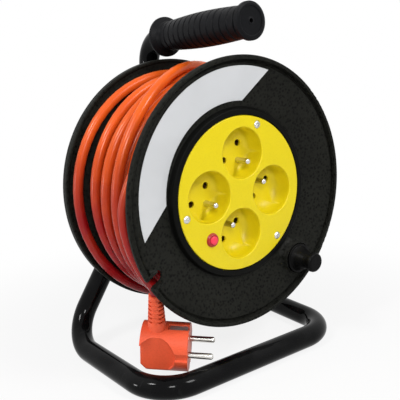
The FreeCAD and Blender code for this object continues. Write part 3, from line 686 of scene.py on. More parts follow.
def mesh_piece(name: str, shape: Shape, angle: float = 0.0) -> Piece:
    """Makes an object of a mesh under construction.

    Args:
        name: The object's name.
        shape: The mesh, which is freed.
        angle: The least angle in degrees that stays a sharp edge, or 0 for flat faces.

    Returns:
        The new object.
    """
    data = bpy.data.meshes.new(name)
    shape.to_mesh(data)
    shape.free()
    if angle:
        smooth(data, angle)
    return link(name, data)


def applied(name: str, start: Piece) -> Piece:
    """Applies an object's modifiers.

    Args:
        name: The new piece's name.
        start: The object, which is removed afterwards.

    Returns:
        The result as a new piece without modifiers.
    """
    graph = bpy.context.evaluated_depsgraph_get()
    mesh = bpy.data.meshes.new_from_object(start.evaluated_get(graph))
    start.modifiers.clear()
    bpy.data.objects.remove(start)
    mesh.name = name
    return link(name, mesh)


def cut_by(piece: Piece, cutter: Piece, crossing: bool = False) -> None:
    """Adds a cut to an object.

    Args:
        piece: The object.
        cutter: What is cut away, which has to stay until the cut is applied.
        crossing: Whether the cutter's own parts cross each other.
    """
    cut = piece.modifiers.new("cut", "BOOLEAN")
    cut.operation = "DIFFERENCE"
    cut.solver = "EXACT"
    cut.use_self = crossing
    cut.object = cutter


def bridge(shape: Shape, rings: list[list[bmesh.types.BMVert]], closed: bool) -> None:
    """Joins rings of points by faces; a ring that is one point over and over gives a fan.

    Args:
        shape: The mesh under construction.
        rings: The rings in their order, all with the same number of points.
        closed: Whether the last ring is joined to the first.
    """
    following = rings[1:] + rings[:1] if closed else rings[1:]
    for first, second in zip(rings, following):
        for step in range(len(first)):
            after = (step + 1) % len(first)
            face = dict.fromkeys((first[step], first[after], second[after], second[step]))
            if len(face) > 2:
                shape.faces.new(face)


def add_box(shape: Shape, size: Sequence[float], spot: Matrix) -> None:
    """Adds a box of a size in millimetres to a mesh, with its middle at a spot."""
    stretch = Matrix.Diagonal((*(part * MM for part in size), 1.0))
    bmesh.ops.create_cube(shape, size=1.0, matrix=spot @ stretch)


def marked_points(
    name: str, points: Sequence[Sequence[float]], edges: Sequence[tuple], mark: str, values: Sequence[float]
) -> Mesh:
    """Makes a mesh of points that carry a number each.

    Args:
        name: The mesh's name.
        points: The points, in metres.
        edges: Pairs of points that are joined.
        mark: The number's name.
        values: The number at each point.

    Returns:
        The new mesh.
    """
    mesh = bpy.data.meshes.new(name)
    mesh.from_pydata([tuple(point) for point in points], edges, [])
    mesh.attributes.new(mark, "FLOAT", "POINT").data.foreach_set("value", values)
    return mesh


class Recipe(Graph):
    """A Geometry Nodes tree whose inputs are set before it is first evaluated."""

    def __init__(self, name: str, inputs: dict[str, tuple[str, object]]) -> None:
        """Makes the tree with a geometry input and the named inputs.

        Args:
            name: The tree's name.
            inputs: Kind, such as Float, and value of each input, by name.
        """
        super().__init__(bpy.data.node_groups.new(name, "GeometryNodeTree"))
        self.values = {label: value for label, (_, value) in inputs.items()}
        kinds = {"Geometry": "Geometry"}
        kinds.update((label, kind) for label, (kind, _) in inputs.items())
        kinds["Material"] = "Material"
        face = self.tree.interface
        for label, kind in kinds.items():
            face.new_socket(name=label, in_out="INPUT", socket_type="NodeSocket" + kind)
        face.new_socket(name="Geometry", in_out="OUTPUT", socket_type="NodeSocketGeometry")
        self.given = self.add("NodeGroupInput").outputs

    def marked(self, mark: str) -> Socket:
        """Reads the number that each point carries."""
        return self.add("GeometryNodeInputNamedAttribute", {"Name": mark}, data_type="FLOAT").outputs[0]

    def close(self, geometry: Socket) -> None:
        """Ends the tree: instances are realized, and the material is set.

        Args:
            geometry: The tree's result.
        """
        real = self.add("GeometryNodeRealizeInstances", {0: geometry}).outputs[0]
        inputs = {"Geometry": real, "Material": self.given["Material"]}
        self.add("NodeGroupOutput", {0: self.add("GeometryNodeSetMaterial", inputs).outputs[0]})

    def run(self, name: str, seed_mesh: Mesh, slot: Slot) -> Piece:
        """Applies the tree to a mesh and keeps the result as a plain mesh.

        Args:
            name: The new piece's name.
            seed_mesh: The mesh that the tree starts from.
            slot: The slot whose material it gets.

        Returns:
            The new piece.
        """
        start = link(name + "_start", seed_mesh)
        modifier = start.modifiers.new("recipe", "NODES")
        modifier.node_group = self.tree
        values = {**self.values, "Material": paint(slot)}
        for item in self.tree.interface.items_tree:
            if item.in_out == "INPUT" and item.name in values:
                modifier[item.identifier] = values[item.name]
        return applied(name, start)


def rounded_outline(corners: Sequence[Corner], closed: bool) -> list[tuple[float, float]]:
    """Rounds the corners of an outline and adds close supporting points beside each round.

    Args:
        corners: Points (radius, along) or (radius, along, corner radius) in millimetres.
        closed: Whether the outline returns to its start.

    Returns:
        The outline's points.
    """
    support = 0.12
    step_angle = math.radians(14.0)
    points: list[tuple[float, float]] = []
    count = len(corners)
    for index, corner in enumerate(corners):
        here = Vector(corner[:2])
        radius = corner[2] if len(corner) > 2 else 0.0
        if not radius or (not closed and index in (0, count - 1)):
            points.append(tuple(here))
            continue
        back = (Vector(corners[index - 1][:2]) - here).normalized()
        on = (Vector(corners[(index + 1) % count][:2]) - here).normalized()
        half = back.angle(on) / 2.0
        reach = radius / math.tan(half)
        middle = here + (back + on).normalized() * (radius / math.sin(half))
        start = (here + back * reach) - middle
        turn = math.pi - 2.0 * half
        sign = 1.0 if start.cross(here + on * reach - middle) > 0 else -1.0
        steps = max(3, round(turn / step_angle))
        points.append(tuple(here + back * (reach + support)))
        for step in range(steps + 1):
            angle = sign * turn * step / steps
            points.append(tuple(middle + Matrix.Rotation(angle, 2) @ start))
        points.append(tuple(here + on * (reach + support)))
    return points


def lathe(
    name: str,
    corners: Sequence[Corner],
    origin: Vector = place(0, 0, 0),
    way: Vector = AXLE_WAY,
    segments: int = 96,
    closed: bool = False,
) -> Piece:
    """Turns an outline into a solid of revolution.

    Args:
        name: The piece's name.
        corners: The outline as (radius, along) or (radius, along, corner radius), in millimetres.
        origin: The point on the axis where along is zero, in the row frame.
        way: Direction of the axis.
        segments: Steps round the axis.
        closed: Whether the outline closes on itself.

    Returns:
        The new piece.
    """
    turn = way.normalized().to_track_quat("Z", "Y").to_matrix()
    shape = bmesh.new()
    rings = []
    angles = full_turn(segments)
    for radius, along in rounded_outline(corners, closed):
        if radius < 1e-6:
            rings.append([shape.verts.new(origin + turn @ Vector((0.0, 0.0, along * MM)))] * segments)
            continue
        spots = [(radius * math.cos(angle), radius * math.sin(angle), along) for angle in angles]
        rings.append([shape.verts.new(origin + turn @ (Vector(spot) * MM)) for spot in spots])
    bridge(shape, rings, closed)
    bmesh.ops.recalc_face_normals(shape, faces=shape.faces)
    return mesh_piece(name, shape, 32.0)


def nurbs(name: str, points: Sequence[Vector], radius: float, steps: int) -> Piece:
    """A round cord along one open NURBS spline.

    Args:
        name: The piece's name.
        points: The spline's control points, in metres.
        radius: The cord's radius in metres.
        steps: Divisions between two control points.

    Returns:
        The new curve.
    """
    data = bpy.data.curves.new(name, "CURVE")
    data.dimensions = "3D"
    data.bevel_depth = radius
    data.bevel_resolution = 5
    data.resolution_u = steps
    data.use_fill_caps = True
    spline = data.splines.new("NURBS")
    spline.points.add(len(points) - 1)
    for control, point in zip(spline.points, points):
        control.co = (*point, 1.0)
    spline.order_u = 3
    spline.use_endpoint_u = True
    spline.use_smooth = True
    return link(name, data)


def line_length(piece: Piece) -> float:
    """Measures a curve's own line.

    Args:
        piece: The curve.

    Returns:
        Its length in metres.
    """
    bare = piece.data.copy()
    bare.bevel_depth = 0.0
    holder = bpy.data.objects.new("line", bare)
    mesh = bpy.data.meshes.new_from_object(holder)
    points = [vertex.co for vertex in mesh.vertices]
    length = sum((b - a).length for a, b in zip(points, points[1:]))
    bpy.data.objects.remove(holder)
    bpy.data.curves.remove(bare)
    bpy.data.meshes.remove(mesh)
    return length


def softened(name: str, start: Piece, voxel: float, passes: int) -> Piece:
    """Applies an object's modifiers and rounds its edges by a fine remesh.

    Args:
        name: The new piece's name.
        start: The object, which is removed afterwards.
        voxel: The remesh's size in millimetres.
        passes: How often the surface is smoothed.

    Returns:
        The new piece.
    """
    remesh = start.modifiers.new("remesh", "REMESH")
    remesh.mode = "VOXEL"
    remesh.voxel_size = voxel * MM
    soften = start.modifiers.new("soften", "SMOOTH")
    soften.factor = 0.5
    soften.iterations = passes
    piece = applied(name, start)
    piece.data.shade_smooth()
    return piece


def polished_copy(name: str, node: str, body: Body, slot: Slot, angle: float = 30.0) -> Piece:
    """Puts a copy in a CAD node's place, with triangles joined and round faces shaded smooth.

    Args:
        name: The new piece's name.
        node: The CAD node to copy.
        body: The body that it rides on.
        slot: The slot that its finish comes from.
        angle: The least angle in degrees that stays a sharp edge.

    Returns:
        The new piece.
    """
    shape = bmesh.new()
    shape.from_mesh(frame["nodes"][node].data)
    bmesh.ops.remove_doubles(shape, verts=shape.verts, dist=2e-6)
    bmesh.ops.dissolve_degenerate(shape, edges=shape.edges, dist=1e-7)
    start = mesh_piece(name + "_start", shape, angle)
    weighted = start.modifiers.new("weighted", "WEIGHTED_NORMAL")
    weighted.keep_sharp = True
    return finish_piece(applied(name, start), body, slot, node)


def repeated(
    name: str,
    template: Piece,
    places: Sequence[Vector],
    body: Body,
    slot: Slot,
    *replaced: str,
    turns: Sequence[float] = (),
) -> Piece:
    """Sets copies of a template at places, each turned about the axle's direction.

    Args:
        name: The new piece's name.
        template: The object to repeat, drawn about the origin; it is removed afterwards.
        places: Where the copies go, in the row frame.
        body: The body that they ride on.
        slot: The slot that their finish comes from.
        replaced: Names of the CAD nodes that they stand for.
        turns: Angle of each copy in degrees, seen from the front.

    Returns:
        All copies as one piece.
    """
    angles = [-math.radians(turn) for turn in turns] or [0.0] * len(places)
    mesh = marked_points(name + "_places", places, [], "turn", angles)
    recipe = Recipe("repeated_piece", {"Template": ("Object", template)})
    given = recipe.given
    copied = recipe.add("GeometryNodeObjectInfo", {"Object": given["Template"]}).outputs["Geometry"]
    spin = recipe.add("ShaderNodeCombineXYZ", {"Y": recipe.marked("turn")}).outputs[0]
    inputs = {"Points": given["Geometry"], "Instance": copied, "Rotation": spin}
    recipe.close(recipe.add("GeometryNodeInstanceOnPoints", inputs).outputs[0])
    piece = recipe.run(name, mesh, slot)
    bpy.data.objects.remove(template)
    return finish_piece(piece, body, slot, *replaced)


@dataclass
class Studio:
    """Pale floor, soft lamps and the photograph's camera."""

    eye: Point = (-306.4, -352.6, 97.0)
    right: Point = (0.79716, -0.60250, -0.03924)
    up: Point = (0.15710, 0.14422, 0.97700)
    back: Point = (-0.58298, -0.78498, 0.20962)
    lens: float = 55.77
    floor_half: float = 3.0
    floor_colour: Colour = (0.7, 0.7, 0.7)
    floor_patches: Colour = (0.8, 0.8, 0.8)
    fade: tuple[float, float, float, float] = (0.12, 0.4, 0.84, 1.0)
    ambient: float = 0.22
    aim: Point = (0.0, 0.0, 0.12)
    lamps: tuple[tuple[str, Point, float, float], ...] = (
        ("key_lamp", (0.25, -0.85, 1.0), 0.3, 7.4),
        ("upper_left_lamp", (-0.8, -0.1, 0.95), 0.2, 6.0),
        ("front_lamp", (-0.5, -0.8, 0.62), 0.18, 4.4),
        ("low_left_lamp", (-1.25, 0.35, 0.2), 0.16, 3.4),
    )

    def camera(self) -> None:
        """Makes the camera at the photograph's place."""
        data = bpy.data.cameras.new("camera")
        data.sensor_width = 36.0
        data.lens = self.lens
        data.clip_start = 0.01
        data.clip_end = 20.0
        camera = link("camera", data)
        axes = Matrix((self.right, self.up, self.back)).transposed()
        camera.matrix_world = Matrix.Translation(place(*self.eye)) @ axes.to_4x4()
        bpy.context.scene.camera = camera

    def seen_white(self, graph: Graph) -> Socket:
        """Tells which rays see a white background.

        Args:
            graph: The nodes of the world or the floor.

        Returns:
            1 for the camera's own rays and those off shiny and through clear surfaces, and 0 for others.
        """
        rays = graph.add("ShaderNodeLightPath").outputs
        shiny = graph.sum("MAXIMUM", rays["Is Glossy Ray"], rays["Is Transmission Ray"])
        return graph.sum("MAXIMUM", rays["Is Camera Ray"], shiny)

    def world(self) -> None:
        """Even pale light from all round, and white behind the object."""
        world = bpy.data.worlds.new("studio")
        world.use_nodes = True
        world.node_tree.nodes.clear()
        graph = Graph(world.node_tree)
        strength = graph.scaled(self.seen_white(graph), 1.0 - self.ambient, self.ambient)
        background = graph.add("ShaderNodeBackground", {"Color": WHITE, "Strength": strength})
        graph.add("ShaderNodeOutputWorld", {"Surface": background.outputs[0]})
        bpy.context.scene.world = world

    def floor(self) -> None:
        """Makes a floor that fades to white away from the object."""
        shape = bmesh.new()
        bmesh.ops.create_grid(shape, x_segments=8, y_segments=8, size=self.floor_half)
        floor = mesh_piece("floor", shape)
        surface = Surface("pale_floor")
        surface.put("Base Color", surface.blend(surface.noise(3.0), self.floor_colour, self.floor_patches))
        surface.put("Roughness", 0.7)
        away = surface.vector("LENGTH", surface.where)
        fade = surface.times(surface.band(away, *self.fade), self.seen_white(surface))
        glow = surface.add("ShaderNodeEmission", {"Color": WHITE, "Strength": 1.0})
        inputs = {0: fade, 1: surface.shader.outputs["BSDF"], 2: glow.outputs[0]}
        mixed = surface.add("ShaderNodeMixShader", inputs).outputs[0]
        surface.feed(surface.output.inputs["Surface"], mixed)
        floor.data.materials.append(surface.material)

    def lamp(self, name: str, at: Point, size: float, power: float) -> None:
        """Hangs a square soft lamp that looks at the object.

        Args:
            name: The lamp's name.
            at: Its place in metres.
            size: The length of its side in metres.
            power: Its power in watts.
        """
        data = bpy.data.lights.new(name, "AREA")
        data.shape = "SQUARE"
        data.size = size
        data.energy = power
        lamp = link(name, data)
        lamp.location = at
        lamp.rotation_euler = (Vector(at) - Vector(self.aim)).to_track_quat("Z", "Y").to_euler()

    def build(self) -> None:
        """Sets up the whole studio."""
        self.camera()
        self.world()
        self.floor()
        for lamp in self.lamps:
            self.lamp(*lamp)
        bpy.context.scene.view_settings.view_transform = "Standard"
        log.info("studio is ready")


@dataclass
class WoundCord:
    """The cord on the drum: laid inner layers, loose turns, and a strand that crosses back over them.

    Each layer is its radius, where it starts and where it ends. The loose turns are given at each quarter
    turn, and the crossing strand at each control point, as a depth and a rise over the loose radius.
    """

    radius: float = 4.0
    layers: tuple[tuple[float, float, float], ...] = (
        (67.5, 86.0, 16.4), (74.4, 16.4, 86.0), (81.3, 86.0, 16.4),
    )
    pitch: float = 8.15
    entry_y: float = 44.0
    entry_radii: tuple[float, ...] = (62.0, 65.0)
    run_in: int = 8
    sway_out: float = 0.25
    sway_along: float = 0.3
    sway_steps: float = 3.0
    loose_radius: float = 88.0
    last_angle: float = 238.0
    per_turn: int = 16
    seed: int = 7
    loose: tuple[Station, ...] = (
        (16.6, 0.0), (18.0, 0.0), (20.0, 0.0), (22.2, 0.0), (24.3, 0.0), (26.4, 0.1), (28.5, 0.2),
        (30.6, 0.2), (32.8, 0.3), (35.0, 0.4), (37.1, 0.4), (39.3, 0.3), (41.5, 0.1), (43.7, 0.1),
        (45.8, 0.2), (48.0, 1.0), (50.2, 1.6), (52.4, 4.3), (54.5, 4.3), (56.5, 2.2), (58.5, 0.3),
        (61.2, 0.0), (63.0, 0.0), (69.0, 0.3), (76.0, 0.6), (71.0, 4.0), (69.5, 4.0), (77.5, 1.6),
        (84.4, 1.0), (86.0, 10.2), (86.6, 10.6), (85.7, 9.8),
    )
    crossing: tuple[Station, ...] = (
        (85.2, 9.5), (84.6, 9.5), (83.2, 9.6), (77.5, 9.6), (64.0, 9.8), (49.0, 10.8), (34.0, 10.4),
        (29.6, 9.0), (29.6, 8.9), (29.7, 8.8), (29.8, 8.7), (30.0, 8.7),
    )

    def inner(self) -> list[Station]:
        """Lays the inner layers, from the barrel outwards, and the climb to the loose turns.

        Returns:
            Radius and depth of each control point.
        """
        chance = random.Random(self.seed)
        below, front, _ = self.layers[0]
        stations = [(radius, self.entry_y) for radius in self.entry_radii]
        for i in range(self.run_in):
            stations.append((below, self.entry_y + (front - self.entry_y) * ease(i / self.run_in)))
        for radius, here, there in self.layers:
            count = round(abs(there - here) / self.pitch * self.per_turn)
            sway = [chance.uniform(-1.0, 1.0) for _ in range(count // 3 + 3)]
            for i in range(count):
                share = i / count
                spot, part = divmod(i / self.sway_steps, 1.0)
                drift = sway[int(spot)] + (sway[int(spot) + 1] - sway[int(spot)]) * ease(part)
                drift *= ease(min(share, 1.0 - share) * 10.0)
                level = below + (radius - below) * ease(i / (self.per_turn // 2))
                depth = here + (there - here) * share
                stations.append((level + self.sway_out * drift, depth + self.sway_along * drift))
            below = radius
        last = self.layers[-1][2]
        climb = 3 * self.per_turn // 4
        for i in range(climb):
            share = ease(i / climb)
            depth = last + (self.loose[0][0] - last) * share
            stations.append((below + (self.loose_radius - below) * share, depth))
        return stations

    def outer(self) -> list[Station]:
        """Lays the loose turns and the strand that crosses back over them.

        Returns:
            Radius and depth of each control point.
        """
        quarter = self.per_turn // 4
        depths, rises = zip(*self.loose)
        turns = [
            (self.loose_radius + between(rises, i / quarter), between(depths, i / quarter))
            for i in range((len(self.loose) - 1) * quarter + 1)
        ]
        return turns + [(self.loose_radius + rise, depth) for depth, rise in self.crossing]

    def route(self) -> list[Vector]:
        """Puts the whole winding in the row frame.

        Returns:
            Its control points, drawn out a little so that the spline has the layers' radii.
        """
        stations = self.inner() + self.outer()
        spread = 1.0 / math.cos(math.pi / self.per_turn)
        step = 360.0 / self.per_turn
        last = len(stations) - 1
        return [
            round_axle(radius * spread, self.last_angle - step * (last - i), depth)
            for i, (radius, depth) in enumerate(stations)
        ]

    def build(self) -> None:
        points = self.route()
        piece = nurbs("wound_cord", points, self.radius * MM, steps=4)
        finish_piece(piece, Body.DRUM, Slot.CORD, "cord_core", "cord_turns")
        length = line_length(piece)
        log.info("wound cord is %.2f m long, from %s", length, tuple(round(v, 4) for v in points[0]))


@dataclass
class Plug:
    """Angled mains plug with its strain relief and the free stretch of cord."""

    face: Point = (-50.4, 13.0, -114.6)
    forward: Point = (0.7381, -0.6719, -0.0602)
    cord_way: Point = (-0.140, -0.240, 0.9605)
    radius: float = 18.7
    depth: float = 36.8
    nose: float = 16.0
    guide_width: float = 5.4
    clip_width: float = 5.6
    groove_depth: float = 1.8
    chamfer: float = 9.0
    recess_turn: float = -11.0
    disc_radius: float = 15.0
    disc_setback: float = 24.5
    disc_drop: float = 1.5
    disc_half: float = 12.8
    dish_depth: float = 1.4
    voxel: float = 0.4
    soft_passes: int = 5
    setback: float = 25.0
    relief_length: float = 31.0
    relief_foot: float = 7.2
    relief_end: float = 5.3
    slots: int = 6
    first_slot: float = 7.5
    slot_width: float = 1.5
    slot_pitch: float = 3.6
    web: float = 2.6
    pin_radius: float = 2.4
    pin_length: float = 19.0
    pin_spacing: float = 19.0
    cord_radius: float = 4.0
    lead: tuple[Point, ...] = (
        (-92.5, 11.5, 26.0), (-97.4, 19.5, 8.0), (-98.2, 19.0, -12.0),
        (-93.0, 18.2, -33.6), (-84.4, 17.4, -51.2),
    )

    @property
    def seat(self) -> float:
        """Height at which the strain relief leaves the body."""
        return self.radius - 1.0

    @cached_property
    def axes(self) -> Matrix:
        """Turns the plug's own directions into the row frame.

        Returns:
            The plug's place, with its pins along X and its cord along Z.
        """
        forward = Vector(self.forward).normalized()
        side = Vector(self.cord_way).cross(forward).normalized()
        turn = Matrix((forward, side, forward.cross(side))).transposed().to_4x4()
        return Matrix.Translation(place(*self.face)) @ turn

    def relief(self) -> Piece:
        """Makes the tapered strain relief, whose slots leave a narrow web.

        Returns:
            The new piece.
        """
        foot = self.radius - 2.2
        top = self.seat + self.relief_length
        lip, lip_size, step = 0.25, 0.97, 0.02
        levels = [(foot, 0.02, False), (foot + 0.01, 1.0, False)]
        for index in range(self.slots):
            low = self.seat + self.first_slot + self.slot_pitch * index
            high = low + self.slot_width
            levels += [(low - lip, 1.0, False), (low, lip_size, False), (low + step, lip_size, True)]
            levels += [(high - step, lip_size, True), (high, lip_size, False), (high + lip, 1.0, False)]
        levels += [(top - 0.7, 1.0, False), (top - 0.2, 0.94, False), (top, 0.8, False)]
        shape = bmesh.new()
        rings = []
        for height, scale, slotted in levels:
            share = (height - self.seat) / self.relief_length
            radius = (self.relief_foot + (self.relief_end - self.relief_foot) * share) * scale
            web = self.web if slotted else radius
            ring = []
            for angle in full_turn(48):
                x = min(max(radius * math.cos(angle), -web), web)
                spot = Vector((x - self.setback, radius * math.sin(angle), height))
                ring.append(shape.verts.new(self.axes @ (spot * MM)))
            rings.append(ring)
        bridge(shape, rings, False)
        shape.faces.new(rings[-1])
        shape.faces.new(reversed(rings[0]))
        bmesh.ops.recalc_face_normals(shape, faces=shape.faces)
        piece = mesh_piece("strain_relief", shape, 40.0)
        return finish_piece(piece, Body.FRAME, Slot.PLUG, "plug_strain_relief")

    def block(self, turned: Matrix, middle: Point, size: Point, lean: float = 0.0) -> Piece:
        """Makes a block that cuts the body.

        Args:
            turned: The plug's place.
            middle: The block's middle in the plug's own directions, in millimetres.
            size: Its lengths along those directions.
            lean: How far it is turned about the plug's side direction, in degrees.

        Returns:
            The block.
        """
        shape = bmesh.new()
        there = Matrix.Translation(Vector(middle) * MM) @ Matrix.Rotation(math.radians(lean), 4, "Y")
        add_box(shape, size, turned @ there)
        return mesh_piece("plug_cutter", shape)

    def cutters(self) -> list[Piece]:
        """Makes what is cut away from the body.

        Returns:
            The two dished recesses, the guide and clip grooves of the nose, and the cut lower corner.
        """
        turned = self.axes @ Matrix.Rotation(math.radians(self.recess_turn), 4, "X")
        side = turned.to_3x3().col[1].copy()
        shares = [i / 8 for i in range(9)]
        dish = [(self.disc_radius * t, self.disc_half - self.dish_depth * (1.0 - t**2)) for t in shares]
        disc = turned @ (Vector((-self.disc_setback, 0.0, -self.disc_drop)) * MM)
        spare, thick, size = 2.0, 10.0, 30.0
        outline = [*dish, (self.disc_radius, size), (0.0, size)]
        length = self.nose + 2.0 * spare
        start = spare - self.nose / 2.0
        rim = self.radius - self.groove_depth + thick / 2.0
        blocks = []
        for way in (-1.0, 1.0):
            blocks.append(lathe("plug_recess", outline, disc, side * way))
            blocks.append(self.block(turned, (start, way * rim, 0.0), (length, thick, self.guide_width)))
            blocks.append(self.block(self.axes, (start, 0.0, way * rim), (length, self.clip_width, thick)))
        spot = (self.chamfer - size / math.sqrt(2.0)) / 2.0
        corner = (-self.depth + spot, 0.0, -self.radius + spot)
        blocks.append(self.block(turned, corner, (size, 2.0 * size, size), -45.0))
        return blocks

    def body(self) -> Piece:
        """Makes the moulded body: a round nose, dished round finger recesses, grooves and soft edges.

        Returns:
            The new piece.
        """
        forward = self.axes.to_3x3().col[0].copy()
        outline = [(0.0, -self.depth), (self.radius, -self.depth), (self.radius, 0.0), (0.0, 0.0)]
        body = lathe("plug_moulding", outline, self.axes.translation, forward)
        cutters = self.cutters()
        for cutter in cutters:
            cut_by(body, cutter)
        piece = softened("plug_moulding", body, self.voxel, self.soft_passes)
        for cutter in cutters:
            bpy.data.objects.remove(cutter)
        return finish_piece(piece, Body.FRAME, Slot.PLUG, "plug_body")

    def pins(self) -> Piece:
        """Makes two round pins with domed ends.

        Returns:
            The new piece.
        """
        way = self.axes.to_3x3() @ Vector((1.0, 0.0, 0.0))
        radius, length = self.pin_radius, self.pin_length
        outline = [(0.0, 0.0), (radius, 0.0), (radius, length, 1.9), (0.0, length)]
        template = lathe("pin", outline, Vector(), way, segments=40)
        half = self.pin_spacing / 2.0
        places = [self.axes @ (Vector((0.0, side * half, 0.0)) * MM) for side in (-1, 1)]
        return repeated("plug_pin_pair", template, places, Body.FRAME, Slot.NICKEL, "plug_pins")

    def build(self) -> None:
        relief = self.relief()
        body = self.body()
        pins = self.pins()
        clips = polished_copy("plug_earth_clips", "plug_earth_contacts", Body.FRAME, Slot.SPRING)
        top = self.seat + self.relief_length
        ends = [self.axes @ (Vector((-self.setback, 0.0, top + over)) * MM) for over in (6.0, -1.5)]
        points = [place(*point) for point in self.lead] + ends
        cord = nurbs("free_cord", points, self.cord_radius * MM, steps=16)
        finish_piece(cord, Body.FRAME, Slot.CORD, "cord_lead")
        length = line_length(cord)
        log.info("free stretch is %.3f m long", length)


